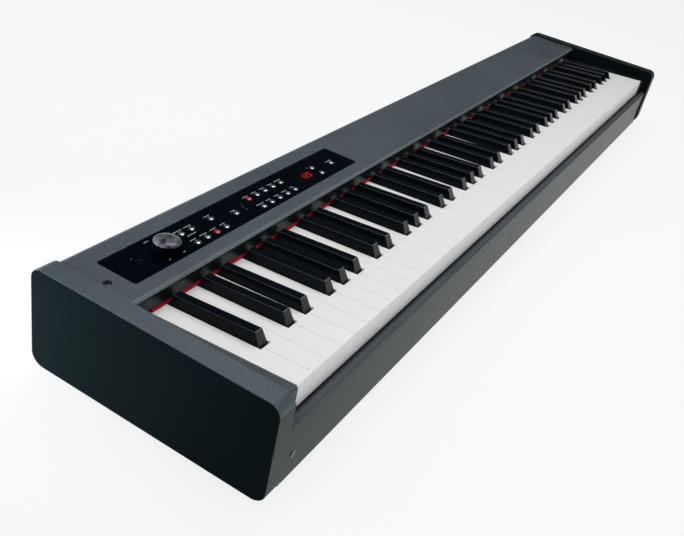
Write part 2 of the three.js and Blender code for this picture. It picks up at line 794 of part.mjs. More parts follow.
// Rear sockets: a power inlet, two outputs, a phone socket, a pedal socket and two data sockets.
const plainJack = { width: jackBodyWidth, nose: jackNoseRadius, bore: jackBoreRadius, boreDepth: jackBoreDepth };
const dataJack = { width: dinBodyWidth, nose: dinNoseRadius, bore: dinBoreRadius, boreDepth: dinBoreDepth };
const powerJack = { width: dcBodyWidth, nose: dcNoseRadius, bore: dcBoreRadius, boreDepth: dinBoreDepth };
const sockets = [powerJack, plainJack, plainJack, plainJack, plainJack, dataJack, dataJack]
  .map((kind, i) => ({ ...kind, x: jackBoardLeft + firstJackX + i * jackSpacing }));

function jackBoard() {
  const bodyBottom = jackAxisHeight - jackBodyHalfHeight;
  const boardTop = bodyBottom + weldDepth;
  const panelFront = coverRearDepth - rearPanelThickness;
  const board = block(jackBoardLeft, jackBoardLeft + jackBoardWidth, jackBoardFrontDepth, jackBoardRearDepth,
    jackBoardBottomHeight, boardTop);
  const legs = [];
  for (const x of [jackBoardLeft + jackLegInset, jackBoardLeft + jackBoardWidth - jackLegInset]) {
    for (const depth of [jackBoardFrontDepth + jackLegInset, panelFront - jackLegInset]) {
      legs.push(post(x, depth, jackLegRadius, boardTopHeight + fitGap, jackBoardBottomHeight + weldDepth, bossSides));
    }
  }
  const bodies = sockets.map(({ x, width }) => block(x - width / 2, x + width / 2,
    panelFront - fitGap - jackBodyDepth, panelFront - fitGap, bodyBottom, jackAxisHeight + jackBodyHalfHeight));
  const noses = sockets.map(({ x, nose }) => barAlongY(x, jackAxisHeight, nose,
    panelFront - fitGap - weldDepth, coverRearDepth, socketSides));
  const bores = sockets.map(({ x, bore, boreDepth }) => barAlongY(x, jackAxisHeight, bore,
    coverRearDepth - boreDepth, coverRearDepth + cutOverrun, socketSides));
  return carved(joined(board, ...legs, ...bodies, ...noses), ...bores);
}

// Assembly

const caseFrame = new THREE.Group();
caseFrame.position.set(-caseWidth / 2, -caseDepth / 2, floorClearance);

function place(name, body, material) {
  const mesh = new THREE.Mesh(geometryOf(body), material);
  mesh.name = name;
  caseFrame.add(mesh);
}

function placeCase() {
  place('left_end_panel', endPanel(0), panelPaint());
  place('right_end_panel', endPanel(caseWidth - panelThickness), panelPaint());
  const leftCheekEnd = keysLeft - cheekKeyGap;
  const rightCheekEnd = keysRight + cheekKeyGap;
  const rightPillarLeft = innerRight - cheekPillarWidth;
  place('left_cheek_block', cheekBlock(innerLeft, leftCheekEnd, innerLeft, screwX), coverPaint());
  place('right_cheek_block', cheekBlock(rightCheekEnd, innerRight, rightPillarLeft, caseWidth - screwX),
    coverPaint());
  place('top_cover', topCover(), coverPaint());
  place('left_cover_screw', coverScrew(screwX), darkSteel());
  place('right_cover_screw', coverScrew(caseWidth - screwX), darkSteel());
  place('front_rail', frontRail(), railPaint());
  place('base_board', baseBoard(), chipboard());
  place('rear_panel', rearPanel(), railPaint());
  place('front_left_foot', foot(footInsetX, footInsetDepth), rubber());
  place('front_right_foot', foot(caseWidth - footInsetX, footInsetDepth), rubber());
  place('rear_left_foot', foot(footInsetX, caseDepth - footInsetDepth), rubber());
  place('rear_right_foot', foot(caseWidth - footInsetX, caseDepth - footInsetDepth), rubber());
}

function placeControls() {
  place('control_panel', controlPanel(), glossBlack());
  place('control_circuit_board', controlCircuit(), circuitGreen());
  place('display_module', displayModule(), displayRed());
  place('volume_knob', volumeKnob(), glossBlack());
  place('power_button', buttonStrip([[powerX, powerDepth]], powerRadius), glossBlack());
  for (const [name, places] of Object.entries(buttonGroups)) {
    place(name, buttonStrip(places, buttonRadius), glossBlack());
  }
  place('rear_jack_board', jackBoard(), circuitGreen());
}

function placeKeyboard() {
  const octaveLastWhite = octaveFirstWhite + octaveWhites - 1;
  place('keybed_frame', keybedFrame(), darkSteel());
  place('key_felt_strip', keyFelt(), crimson());
  place('bass_white_keys', whiteBank(0, octaveFirstWhite - 1), ivory());
  place('bass_black_keys', blackBank(0, octaveFirstWhite - 1), ebony());
  place('bass_hammers', hammerBank(0, octaveFirstWhite - 1), hammerGrey());
  for (let white = octaveFirstWhite; white <= octaveLastWhite; white += 1) {
    const note = letterOf(white).toLowerCase();
    place(`key_${note}${octaveNumber}`, whiteKey(white), ivory());
    place(`hammer_${note}${octaveNumber}`, hammer(tailCentre(white)), hammerGrey());
    if (hasBlackAfter(white)) {
      place(`key_${note}_sharp${octaveNumber}`, blackKey(white), ebony());
      place(`hammer_${note}_sharp${octaveNumber}`, hammer(blackCentre(white)), hammerGrey());
    }
  }
  place('treble_white_keys', whiteBank(octaveLastWhite + 1, whiteCount - 1), ivory());
  place('treble_black_keys', blackBank(octaveLastWhite + 1, whiteCount - 1), ebony());
  place('treble_hammers', hammerBank(octaveLastWhite + 1, whiteCount - 1), hammerGrey());
}

placeCase();
placeControls();
placeKeyboard();

const piano = new THREE.Group();
piano.add(caseFrame);

export default piano;
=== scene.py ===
"""A slab stage piano, modelled and finished around its fixed frame."""

import logging
import math
from abc import ABC, abstractmethod
from contextlib import contextmanager
from dataclasses import dataclass, field, replace
from enum import Enum, IntEnum
from typing import Callable, ClassVar, Iterator, Sequence

import bpy
from mathutils import Matrix, Vector


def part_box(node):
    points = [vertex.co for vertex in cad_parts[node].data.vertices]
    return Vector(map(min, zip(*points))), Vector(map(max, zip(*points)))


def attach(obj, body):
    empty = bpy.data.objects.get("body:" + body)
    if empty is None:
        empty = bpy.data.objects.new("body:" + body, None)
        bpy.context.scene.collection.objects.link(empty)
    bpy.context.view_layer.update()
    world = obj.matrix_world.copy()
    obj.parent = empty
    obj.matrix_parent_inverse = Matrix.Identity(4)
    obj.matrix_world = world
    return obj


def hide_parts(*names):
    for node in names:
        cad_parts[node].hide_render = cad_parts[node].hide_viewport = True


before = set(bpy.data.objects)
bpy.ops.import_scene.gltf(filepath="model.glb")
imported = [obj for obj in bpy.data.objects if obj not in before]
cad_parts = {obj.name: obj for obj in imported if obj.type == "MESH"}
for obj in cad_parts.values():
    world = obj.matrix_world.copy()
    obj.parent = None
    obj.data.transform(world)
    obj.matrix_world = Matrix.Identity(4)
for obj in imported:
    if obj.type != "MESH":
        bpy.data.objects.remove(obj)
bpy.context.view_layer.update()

Span = tuple[float, float]
Place = tuple[float, float]
Spot = tuple[float, float, float]
Shade = tuple[float, float, float]
Piece = bpy.types.Object
Test = Callable[..., bool]
Sockets = dict[str | int, object]

MM = 0.001
CASE_BODY = "case"

# Sizes that several classes share, in millimetres in the case frame that Bench describes.
CASE_WIDTH = 1327.0
BODY_ACROSS: Span = (22.3, 1304.7)
BODY_BOTTOM = 2.0
COVER_TOP = 102.5
REAR_FACE = 260.0
KNOB_PLACE: Place = (107.0, 205.2)
POWER_PLACE: Place = (73.5, 208.0)
COVER_SCREWS: tuple[Place, Place] = ((30.5, 204.5), (1296.5, 204.5))
KEY_SLOPE = math.tan(math.radians(3.5))

# A point within this many millimetres of a place counts as being there.
NEAR = 1.0
# A normal with more than this share along an axis counts as facing along it, or as leaning to it.
FACING = 0.9
LEANING = 0.3
# How far a cutter reaches past what it cuts, in millimetres.
SPARE = 1.0

log = logging.getLogger("stage_piano")


def around(middle: float, size: float) -> Span:
    """Give the span of a size about its middle."""
    return middle - size / 2.0, middle + size / 2.0


def plug(tree: bpy.types.NodeTree, node: bpy.types.Node, values: Sockets) -> None:
    """Set a node's inputs, or link them where the value is another node's output.

    Args:
        tree: The node tree.
        node: The node.
        values: The value or the output for each input.
    """
    for name, value in values.items():
        if isinstance(value, bpy.types.NodeSocket):
            tree.links.new(value, node.inputs[name])
        else:
            node.inputs[name].default_value = value


def add_node(tree: bpy.types.NodeTree, kind: str, values: Sockets | None = None) -> bpy.types.Node:
    """Add a node to a tree, with its inputs set and linked.

    Args:
        tree: The node tree.
        kind: Blender's name of the node's type, less the ShaderNode in front.
        values: The value or the output for each input.

    Returns:
        The node.
    """
    node = tree.nodes.new(f"ShaderNode{kind}")
    plug(tree, node, values or {})
    return node


class Pick(Enum):
    """What edit mode works on."""

    VERTEX = (True, False, False)
    EDGE = (False, True, False)
    FACE = (False, False, True)


class Axis(IntEnum):
    """An axis of the case frame, numbered as the parts of a place are."""

    X = 0
    Y = 1
    Z = 2


class Way(Enum):
    """The way that a screw's head looks, as a step of a millimetre."""

    UP = (0.0, 0.0, 1.0)
    DOWN = (0.0, 0.0, -1.0)
    FORWARD = (0.0, -1.0, 0.0)
    BACK = (0.0, 1.0, 0.0)


class Pattern(Enum):
    """How a finish's fine detail is made."""

    GRAINED = "raised cells, as on moulded and laminated surfaces"
    SOFT = "soft noise, as on satin plastic and felt"
    GLOSS = "soft noise, with a gloss that wanders over broad patches"
    CLOUDED = "soft noise alone in the colour, with no broad patches"
    DRAWN = "soft noise drawn out lengthwise, as on turned metal"


@dataclass(frozen=True)
class Finish:
    """A surface finish: its colours, its gloss and the scale of its detail.

    The detail size is in millimetres, and the spread is the share by which
    the colour wanders from patch to patch.
    """

    name: str
    slot: str
    colour: Shade
    roughness: float
    pattern: Pattern
    detail_mm: float
    spread: float = 0.2
    relief_mm: float = 0.05
    relief_strength: float = 0.3
    gloss_spread: float = 0.1
    metallic: float = 0.0
    coat: float = 0.0
    sheen: float = 0.0
    glow: float = 0.0
    specular: float = 0.5


@dataclass(frozen=True)
class Slot:
    """The size of the crossed slots in a screw's head, in millimetres."""

    length: float
    width: float
    depth: float


class Mixture:
    """The node material of one finish."""

    LENGTHWISE = (1.0, 0.04, 1.0)
    FINE_LAYERS = 4.0
    BROAD_LAYERS = 2.0
    BROAD_MM = 90.0
    BROAD_SHARE = 0.25
    TONES_AT = (0.36, 0.64)
    GLOSS_AT = (0.3, 0.7)
    LEAST_ROUGHNESS = 0.02

    def __init__(self, finish: Finish) -> None:
        """Make the material.

        Args:
            finish: The finish to mix.
        """
        self.finish = finish
        self.paint = bpy.data.materials.new(finish.name)
        self.paint.use_nodes = True
        self.tree = self.paint.node_tree
        place = add_node(self.tree, "TexCoord")
        self.mapping = add_node(self.tree, "Mapping", {"Vector": place.outputs["Object"]})
        if finish.pattern is Pattern.DRAWN:
            self.mapping.inputs["Scale"].default_value = self.LENGTHWISE
        self.fine = self._texture("TexNoise", finish.detail_mm, {"Detail": self.FINE_LAYERS}).outputs["Fac"]
        self.broad = self._texture("TexNoise", self.BROAD_MM, {"Detail": self.BROAD_LAYERS}).outputs["Fac"]
        colour = self._colour()
        glow = {"Emission Color": colour, "Emission Strength": finish.glow} if finish.glow else {}
        plug(self.tree, self.tree.nodes["Principled BSDF"], {
            "Base Color": colour,
            "Roughness": self._gloss(),
            "Normal": self._relief(),
            "Metallic": finish.metallic,
            "Coat Weight": finish.coat,
            "Sheen Weight": finish.sheen,
            "Specular IOR Level": finish.specular,
            **glow,
        })

    def _texture(self, kind: str, size_mm: float, values: Sockets) -> bpy.types.Node:
        """Add a pattern that reads the piece's own coordinates.

        Args:
            kind: Blender's name of the pattern.
            size_mm: The size of one grain in millimetres.
            values: Its other inputs.

        Returns:
            The pattern's node.
        """
        return add_node(self.tree, kind, {
            "Vector": self.mapping.outputs["Vector"],
            "Scale": 1.0 / (size_mm * MM),
            **values,
        })

    def _colour(self) -> bpy.types.NodeSocket:
        """Let the colour wander between a darker and a lighter tone.

        Returns:
            The colour's output.
        """
        finish = self.finish
        broad_share = 0.0 if finish.pattern is Pattern.CLOUDED else self.BROAD_SHARE
        blend = add_node(self.tree, "Mix", {"Factor": broad_share, "A": self.fine, "B": self.broad})
        ramp = add_node(self.tree, "ValToRGB", {"Fac": blend.outputs["Result"]})
        shares = (1.0 - finish.spread, 1.0 + finish.spread)
        for tone, position, share in zip(ramp.color_ramp.elements, self.TONES_AT, shares):
            tone.position = position
            tone.color = (*[channel * share for channel in finish.colour], 1.0)
        return ramp.outputs["Color"]

    def _gloss(self) -> bpy.types.NodeSocket:
        """Let the roughness wander a little, as handled plastic does.

        Returns:
            The roughness's output.
        """
        finish = self.finish
        wander = add_node(self.tree, "MapRange", {
            "Value": self.broad if finish.pattern is Pattern.GLOSS else self.fine,
            "From Min": self.GLOSS_AT[0],
            "From Max": self.GLOSS_AT[1],
            "To Min": max(self.LEAST_ROUGHNESS, finish.roughness - finish.gloss_spread),
            "To Max": min(1.0, finish.roughness + finish.gloss_spread),
        })
        return wander.outputs["Result"]

    def _relief(self) -> bpy.types.NodeSocket:
        """Raise the surface in a fine relief.

        Returns:
            The normal's output.
        """
        finish, height = self.finish, self.fine
        if finish.pattern is Pattern.GRAINED:
            height = self._texture("TexVoronoi", finish.detail_mm, {}).outputs["Distance"]
        bump = add_node(self.tree, "Bump", {
            "Height": height,
            "Strength": finish.relief_strength,
            "Distance": finish.relief_mm * MM,
        })
        return bump.outputs["Normal"]


class Finishes:
    """Every finish of the piano."""

    SLATE = Finish("slate_grain", "slate_cover", (0.055, 0.073, 0.088), 0.5, Pattern.GRAINED, 1.7,
                   spread=0.36, relief_mm=0.14, relief_strength=0.45)
    CHEEK = replace(SLATE, name="cheek_grain", slot="cheek_slate", colour=(0.043, 0.056, 0.067))
    # Painted highlight: a lighter copy of the slate for the rounded front edge of the cover.
    COVER_EDGE_HIGHLIGHT = Finish("slate_painted_highlight", "slate_cover", (0.115, 0.14, 0.152), 0.5, Pattern.GRAINED, 1.7,
                        spread=0.3, relief_mm=0.1)
    # Painted shade: darker copies of the slate and cheek finishes for the right end, which the light reaches
    # less.
    SLATE_PAINTED_SHADE = replace(COVER_EDGE_HIGHLIGHT, name="slate_painted_shade", colour=(0.014, 0.017, 0.02), specular=0.2)
    CHEEK_PAINTED_SHADE = replace(SLATE_PAINTED_SHADE, name="cheek_painted_shade", slot="cheek_slate", colour=(0.007, 0.009, 0.011),
                        specular=0.1)
    LIP = Finish("lip_satin", "slate_cover", (0.0035, 0.0065, 0.0075), 0.33, Pattern.SOFT, 1.2,
                 relief_mm=0.01, relief_strength=0.08, specular=0.22)
    # Near-black laminate for the end panels' outer faces, kept this dark also as painted shade on faces
    # turned aside.
    END_FACE_AND_SHADE = Finish("end_laminate_and_shade", "panel_black", (0.0042, 0.0072, 0.0085), 0.5, Pattern.SOFT, 1.4,
                      spread=0.15, relief_mm=0.04, relief_strength=0.2, specular=0.0)
    RAIL = Finish("rail_grain", "rail_grey", (0.0115, 0.0265, 0.021), 0.3, Pattern.GRAINED, 1.5,
                  spread=0.09, relief_mm=0.02, relief_strength=0.06, specular=0.06)
    LEDGE = Finish("ledge_grain", "rail_grey", (0.067, 0.08, 0.089), 0.6, Pattern.GRAINED, 1.7,
                   spread=0.25, relief_mm=0.1, relief_strength=0.35, specular=0.15)
    # Painted shade: darker copies of the ledge's finish for the shadow of the key fronts on the ledge's rear.
    LEDGE_HALF_SHADE = replace(LEDGE, name="ledge_painted_half_shade", colour=(0.034, 0.038, 0.046), specular=0.1)
    LEDGE_FULL_SHADE = replace(LEDGE, name="ledge_painted_full_shade", colour=(0.008, 0.009, 0.011), roughness=0.7, specular=0.05)
    REAR = Finish("rear_grain", "rail_grey", (0.022, 0.026, 0.029), 0.45, Pattern.GRAINED, 1.5,
                  spread=0.25, relief_mm=0.06, relief_strength=0.25, specular=0.3)
    IVORY = Finish("ivory_key", "ivory_white", (0.79, 0.785, 0.775), 0.4, Pattern.SOFT, 2.5,
                   spread=0.015, relief_mm=0.01, relief_strength=0.15, specular=0.35)
    EBONY = Finish("ebony_key", "ebony_black", (0.0021, 0.0042, 0.0068), 0.2, Pattern.SOFT, 1.6,
                   spread=0.25, relief_mm=0.004, relief_strength=0.15, gloss_spread=0.04, specular=0.085)
    EBONY_TIP = replace(EBONY, name="ebony_tip", colour=(0.003, 0.0035, 0.0042), roughness=0.15,
                        gloss_spread=0.1, specular=0.45)
    # Painted highlights: a lighter copy of the ebony on the bevelled upper edges, and a brighter painted
    # glint on the front edge.
    EBONY_EDGE_HIGHLIGHT = replace(EBONY_TIP, name="ebony_painted_highlight", colour=(0.022, 0.026, 0.031), roughness=0.35,
                         spread=0.2, specular=0.6)
    EBONY_PAINTED_GLINT = replace(EBONY_EDGE_HIGHLIGHT, name="ebony_painted_glint", colour=(0.11, 0.12, 0.13), roughness=0.25,
                          specular=1.0)
    GLOSS = Finish("panel_gloss", "gloss_black", (0.0006, 0.002, 0.0045), 0.08, Pattern.GLOSS, 6.0,
                   relief_mm=0.003, relief_strength=0.1, gloss_spread=0.03, specular=0.2)
    KNOB = Finish("knob_satin", "gloss_black", (0.0006, 0.001, 0.0016), 0.4, Pattern.SOFT, 5.0,
                  spread=0.3, relief_mm=0.01, relief_strength=0.12, specular=0.02)
    # Painted reflection: the crown's clouded grey colour stands for reflections on the glossy dome.
    KNOB_CROWN_REFLECTION = Finish("knob_crown_painted_reflection", "gloss_black", (0.06, 0.067, 0.077), 0.2, Pattern.CLOUDED, 8.0,
                   spread=0.85, relief_mm=0.02, relief_strength=0.1, gloss_spread=0.05)
    BEZEL = Finish("button_bezel", "gloss_black", (0.004, 0.005, 0.006), 0.16, Pattern.GLOSS, 2.0,
                   spread=0.3, relief_mm=0.004, relief_strength=0.1, specular=0.7)
    BUTTON = Finish("button_gloss", "gloss_black", (0.42, 0.43, 0.45), 0.12, Pattern.GLOSS, 2.0,
                    relief_mm=0.004, relief_strength=0.1, metallic=0.9, coat=1.0, specular=1.0)
    LIT_BUTTON = replace(BUTTON, name="button_lit_red", slot="display_red", colour=(0.3, 0.002, 0.032),
                         roughness=0.14, spread=0.25, metallic=0.0, glow=0.13)
    POWER = Finish("power_satin", "gloss_black", (0.0008, 0.0014, 0.0024), 0.4, Pattern.SOFT, 1.2,
                   relief_mm=0.01, specular=0.03)
    LEGEND = Finish("legend_ink", "ivory_white", (0.33, 0.34, 0.35), 0.6, Pattern.SOFT, 0.6,
                    spread=0.25, relief_mm=0.01)
    DISPLAY = Finish("display_window", "display_red", (0.004, 0.002, 0.0025), 0.09, Pattern.GLOSS, 8.0,
                     relief_mm=0.003, relief_strength=0.1, specular=0.3)
    DIGIT = Finish("digit_glow", "display_red", (0.45, 0.003, 0.02), 0.4, Pattern.SOFT, 1.0,
                   relief_mm=0.01, glow=0.7)
    LAMP = Finish("lamp_lens", "display_red", (0.05, 0.042, 0.044), 0.2, Pattern.GLOSS, 1.0, relief_mm=0.005)
    FELT = Finish("crimson_felt", "crimson_felt", (0.33, 0.0025, 0.028), 0.95, Pattern.SOFT, 0.7,
                  spread=0.3, relief_mm=0.3, relief_strength=0.6, sheen=0.05, specular=0.1)
    RUBBER = Finish("foot_rubber", "rubber_black", (0.012, 0.012, 0.013), 0.85, Pattern.GRAINED, 1.2,
                    spread=0.3, relief_mm=0.15, relief_strength=0.5)
    BOARD = Finish("base_laminate", "chipboard", (0.02, 0.02, 0.021), 0.75, Pattern.GRAINED, 3.5,
                   spread=0.4, relief_mm=0.15, relief_strength=0.4)
    FRAME = Finish("keybed_plastic", "frame_plastic", (0.03, 0.032, 0.035), 0.55, Pattern.GRAINED, 1.5,
                   spread=0.25)
    HAMMER = Finish("hammer_plastic", "hammer_plastic", (0.09, 0.1, 0.11), 0.5, Pattern.SOFT, 1.5,
                    relief_mm=0.04)
    CIRCUIT = Finish("circuit_mask", "circuit_green", (0.012, 0.1, 0.04), 0.35, Pattern.GRAINED, 2.5,
                     spread=0.35, relief_mm=0.04)
    SOCKET = Finish("socket_plastic", "circuit_green", (0.008, 0.008, 0.009), 0.45, Pattern.SOFT, 1.0,
                    relief_mm=0.02)
    SCREW = Finish("screw_black", "screw_steel", (0.12, 0.125, 0.13), 0.22, Pattern.SOFT, 0.7,
                   spread=0.3, relief_mm=0.02, metallic=0.9)
    NUT = Finish("jack_nut", "screw_steel", (0.55, 0.55, 0.57), 0.28, Pattern.DRAWN, 0.6,
                 spread=0.12, relief_mm=0.02, metallic=1.0)


class Bench:
    """The modelling bench.

    Sizes and places are millimetres in the case frame: X from the bass end, Y from
    the player's edge and Z from the underside of the end panels.
    """

    SHARP_DEG = 50.0
    SMOOTH_DEG = 40.0
    MERGE_MM = 0.001
    LEAST_RUN_MM = 0.2

    def __init__(self) -> None:
        """Set the bench's zero at the low corner of the left end panel."""
        self.zero = Vector(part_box("left_end_panel")[0])
        self.paints: dict[str, bpy.types.Material] = {}
        self.finished: list[str] = []

    def spot(self, place: Sequence[float]) -> Vector:
        """Turn a place in the case frame into metres in the shared frame."""
        return self.zero + Vector(place) * MM

    def read(self, point: Vector) -> Vector:
        """Turn a point in the shared frame into millimetres in the case frame."""
        return (point - self.zero) / MM

    @staticmethod
    def activate(piece: Piece) -> None:
        """Select one piece alone and make it active.

        Args:
            piece: The piece.
        """
        bpy.ops.object.select_all(action="DESELECT")
        piece.select_set(True)
        bpy.context.view_layer.objects.active = piece

    @staticmethod
    def rename(piece: Piece, name: str) -> None:
        """Give a piece and its mesh a name."""
        piece.name = name
        piece.data.name = name

    def _settle(self, name: str) -> Piece:
        """Name the new primitive and write its place into its mesh.

        Args:
            name: The piece's name.

        Returns:
            The piece.
        """
        piece = bpy.context.active_object
        self.activate(piece)
        bpy.ops.object.transform_apply(location=True, rotation=True, scale=True)
        self.rename(piece, name)
        return piece

    def block(self, name: str, across: Span, depth: Span, height: Span) -> Piece:
        """Add a rectangular blank.

        Args:
            name: The piece's name.
            across: Its span along X.
            depth: Its span along Y.
            height: Its span along Z.

        Returns:
            The blank.
        """
        bpy.ops.object.select_all(action="DESELECT")
        spans = (across, depth, height)
        centre = self.spot([(low + high) / 2.0 for low, high in spans])
        scale = [(high - low) * MM for low, high in spans]
        bpy.ops.mesh.primitive_cube_add(size=1.0, location=centre, scale=scale)
        return self._settle(name)

    def rod(self, name: str, place: Spot, radius: float, length: float, sides: int = 32,
            axis: Axis = Axis.Z) -> Piece:
        """Add a round blank, upright or lying along the depth.

        Args:
            name: The piece's name.
            place: Its centre.
            radius: Its radius.
            length: Its length.
            sides: How many flats it has.
            axis: Either Z or Y.

        Returns:
            The blank.
        """
        bpy.ops.object.select_all(action="DESELECT")
        turn = (math.pi / 2.0 if axis is Axis.Y else 0.0, 0.0, 0.0)
        bpy.ops.mesh.primitive_cylinder_add(
            vertices=sides, radius=radius * MM, depth=length * MM, location=self.spot(place), rotation=turn)
        return self._settle(name)

    def turned(self, name: str, centre: Place, rings: Sequence[Place], sides: int = 32) -> Piece:
        """Draw a round piece up from its base, ring by ring.

        Args:
            name: The piece's name.
            centre: The X and Y of its axis.
            rings: The radius and height of each ring, from the bottom up.
            sides: How many flats it has.

        Returns:
            The piece, closed and facing out.
        """
        bpy.ops.object.select_all(action="DESELECT")
        radius, height = rings[0]
        bpy.ops.mesh.primitive_circle_add(
            vertices=sides, radius=radius * MM, fill_type="NGON", location=self.spot((*centre, height)))
        piece = self._settle(name)
        with self.editing(piece, Pick.FACE):
            for new_radius, new_height in rings[1:]:
                rise = (0.0, 0.0, (new_height - height) * MM)
                bpy.ops.mesh.extrude_region_move(TRANSFORM_OT_translate={"value": rise})
                share = new_radius / radius
                bpy.ops.transform.resize(
                    value=(share, share, 1.0), center_override=self.spot((*centre, new_height)))
                radius, height = new_radius, new_height
        self._face_out(piece)
        return piece

    @contextmanager
    def editing(self, piece: Piece, pick: Pick, test: Test = lambda *parts: True) -> Iterator[None]:
        """Open edit mode with the parts selected that pass a test.

        Args:
            piece: The piece to edit.
            pick: What is selected.
            test: Takes a vertex's place, an edge's two ends, or a face's middle and normal.

        Yields:
            Nothing, while edit mode is open.
        """
        self.activate(piece)
        mesh = piece.data
        places = [self.read(vertex.co) for vertex in mesh.vertices]
        for part in (*mesh.vertices, *mesh.edges, *mesh.polygons):
            part.select = False
        if pick is Pick.VERTEX:
            for vertex, place in zip(mesh.vertices, places):
                vertex.select = test(place)
        elif pick is Pick.EDGE:
            for edge in mesh.edges:
                start, end = (places[i] for i in edge.vertices)
                edge.select = test(start, end)
                for i in edge.vertices:
                    mesh.vertices[i].select = mesh.vertices[i].select or edge.select
        else:
            for polygon in mesh.polygons:
                polygon.select = test(self.read(polygon.center), polygon.normal)
        bpy.context.tool_settings.mesh_select_mode = pick.value
        bpy.ops.object.mode_set(mode="EDIT")
        yield
        bpy.ops.object.mode_set(mode="OBJECT")

    def _face_out(self, piece: Piece) -> None:
        """Merge a piece's doubled points and turn its faces outwards.

        Args:
            piece: The piece to mend.
        """
        with self.editing(piece, Pick.VERTEX):
            bpy.ops.mesh.remove_doubles(threshold=self.MERGE_MM * MM)
            bpy.ops.mesh.normals_make_consistent(inside=False)

    def split(self, piece: Piece, axis: Axis, place: float) -> None:
        """Cut a piece's faces along a plane, without parting them.

        Args:
            piece: The piece to change.
            axis: The axis that the plane stands across.
            place: Where on that axis it stands.
        """
        normal = [float(axis is other) for other in Axis]
        with self.editing(piece, Pick.FACE):
            bpy.ops.mesh.bisect(plane_co=self.spot([place * part for part in normal]), plane_no=normal)

    def draw_out(self, piece: Piece, test: Test, move: Spot) -> None:
        """Extrude the faces that pass a test.

        Args:
            piece: The piece to change.
            test: Takes a face's middle and normal.
            move: How far they go.
        """
        way = {"value": [step * MM for step in move]}
        with self.editing(piece, Pick.FACE, test):
            bpy.ops.mesh.extrude_region_move(TRANSFORM_OT_translate=way)

    def shift(self, piece: Piece, test: Test, move: Spot) -> None:
        """Move the vertices of a piece that pass a test.

        Args:
            piece: The piece to change.
            test: Takes a vertex's place.
            move: How far they go.
        """
        with self.editing(piece, Pick.VERTEX, test):
            bpy.ops.transform.translate(value=[step * MM for step in move])

    def round_edges(self, piece: Piece, test: Test, radius: float, segments: int) -> None:
        """Round the edges that pass a test.

        Args:
            piece: The piece to change.
            test: Takes an edge's two ends.
            radius: The radius of the rounding.
            segments: How many flats make it.
        """
        with self.editing(piece, Pick.EDGE, test):
            bpy.ops.mesh.bevel(offset=radius * MM, segments=segments, affect="EDGES", clamp_overlap=True)

    def round_corners(self, piece: Piece, radius: float, segments: int, axis: Axis = Axis.Z) -> None:
        """Round the four edges of a block that run along one axis.

        Args:
            piece: The piece to change.
            radius: The radius of the rounding.
            segments: How many flats make it.
            axis: The axis.
        """
        self.round_edges(piece, lambda a, b: abs(a[axis] - b[axis]) > self.LEAST_RUN_MM, radius, segments)

    def apply(self, piece: Piece, kind: str, **settings: object) -> None:
        """Add a modifier to a piece and apply it.

        Args:
            piece: The piece to change.
            kind: Blender's name of the modifier.
            **settings: The modifier's settings.
        """
        self.activate(piece)
        modifier = piece.modifiers.new(kind.lower(), kind)
        for name, value in settings.items():
            setattr(modifier, name, value)
        bpy.ops.object.modifier_apply(modifier=modifier.name)

    def soften(self, piece: Piece, radius: float, segments: int = 2) -> None:
        """Take the sharpness off every edge of a piece.

        Args:
            piece: The piece to change.
            radius: The radius of the rounding.
            segments: How many flats make it.
        """
        self.apply(piece, "BEVEL", width=radius * MM, segments=segments, limit_method="ANGLE",
                   angle_limit=math.radians(self.SHARP_DEG), harden_normals=False)

    def cut(self, piece: Piece, cutter: Piece) -> None:
        """Cut one piece out of another and throw the cutter away."""
        self.apply(piece, "BOOLEAN", operation="DIFFERENCE", solver="EXACT", object=cutter)
        bpy.data.objects.remove(cutter, do_unlink=True)

    def cross(self, screw: Piece, slot: Slot, head: Spot, way: Way) -> None:
        """Cut the crossed slots into a screw's head.

        Args:
            screw: The screw.
            slot: The size of the slots.
            head: The middle of the head's outer face.
            way: The way that this face looks.
        """
        for sizes in ((slot.length, slot.width), (slot.width, slot.length)):
            size = iter(sizes)
            spans = [sorted((place - step * slot.depth, place + step * SPARE)) if step
                     else around(place, next(size)) for place, step in zip(head, way.value)]
            self.cut(screw, self.block("slot", *spans))

    def join(self, pieces: Sequence[Piece], name: str) -> Piece:
        """Join several pieces into the first of them.

        Args:
            pieces: The pieces.
            name: The joined piece's name.

        Returns:
            The joined piece.
        """
        self.activate(pieces[0])
        for piece in pieces:
            piece.select_set(True)
        if len(pieces) > 1:
            bpy.ops.object.join()
        self.rename(pieces[0], name)
        return pieces[0]

    def copy(self, piece: Piece, name: str, move: Spot) -> Piece:
        """Copy a piece, with a mesh of its own, to another place.

        Args:
            piece: The piece to copy.
            name: The copy's name.
            move: How far away the copy stands.

        Returns:
            The copy.
        """
        twin = piece.copy()
        twin.data = piece.data.copy()
        twin.data.transform(Matrix.Translation(Vector(move) * MM))
        self.rename(twin, name)
        bpy.context.collection.objects.link(twin)
        return twin

    def shade(self, piece: Piece) -> None:
        """Shade a piece smoothly with flat faces kept flat.

        Args:
            piece: The piece to shade.
        """
        self.activate(piece)
        bpy.ops.object.shade_smooth_by_angle(angle=math.radians(self.SMOOTH_DEG))
        self.apply(piece, "WEIGHTED_NORMAL", keep_sharp=True)

    def _paint(self, finish: Finish) -> bpy.types.Material:
        """Give the material of a finish, mixed on first use.

        Args:
            finish: The finish.

        Returns:
            Its material.
        """
        if finish.name not in self.paints:
            self.paints[finish.name] = Mixture(finish).paint
        return self.paints[finish.name]

    def dress(self, piece: Piece, finish: Finish, *nodes: str, body: str = CASE_BODY) -> None:
        """Give a piece its finish, the body it rides on and the nodes it stands for.

        Args:
            piece: The piece.
            finish: Its finish.
            *nodes: The nodes that it stands for.
            body: The body that carries it.
        """
        piece.data.materials.clear()
        piece.data.materials.append(self._paint(finish))
        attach(piece, body)
        if nodes:
            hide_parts(*nodes)
        self.finished.append(f"{piece.name}, which rides on {body}")

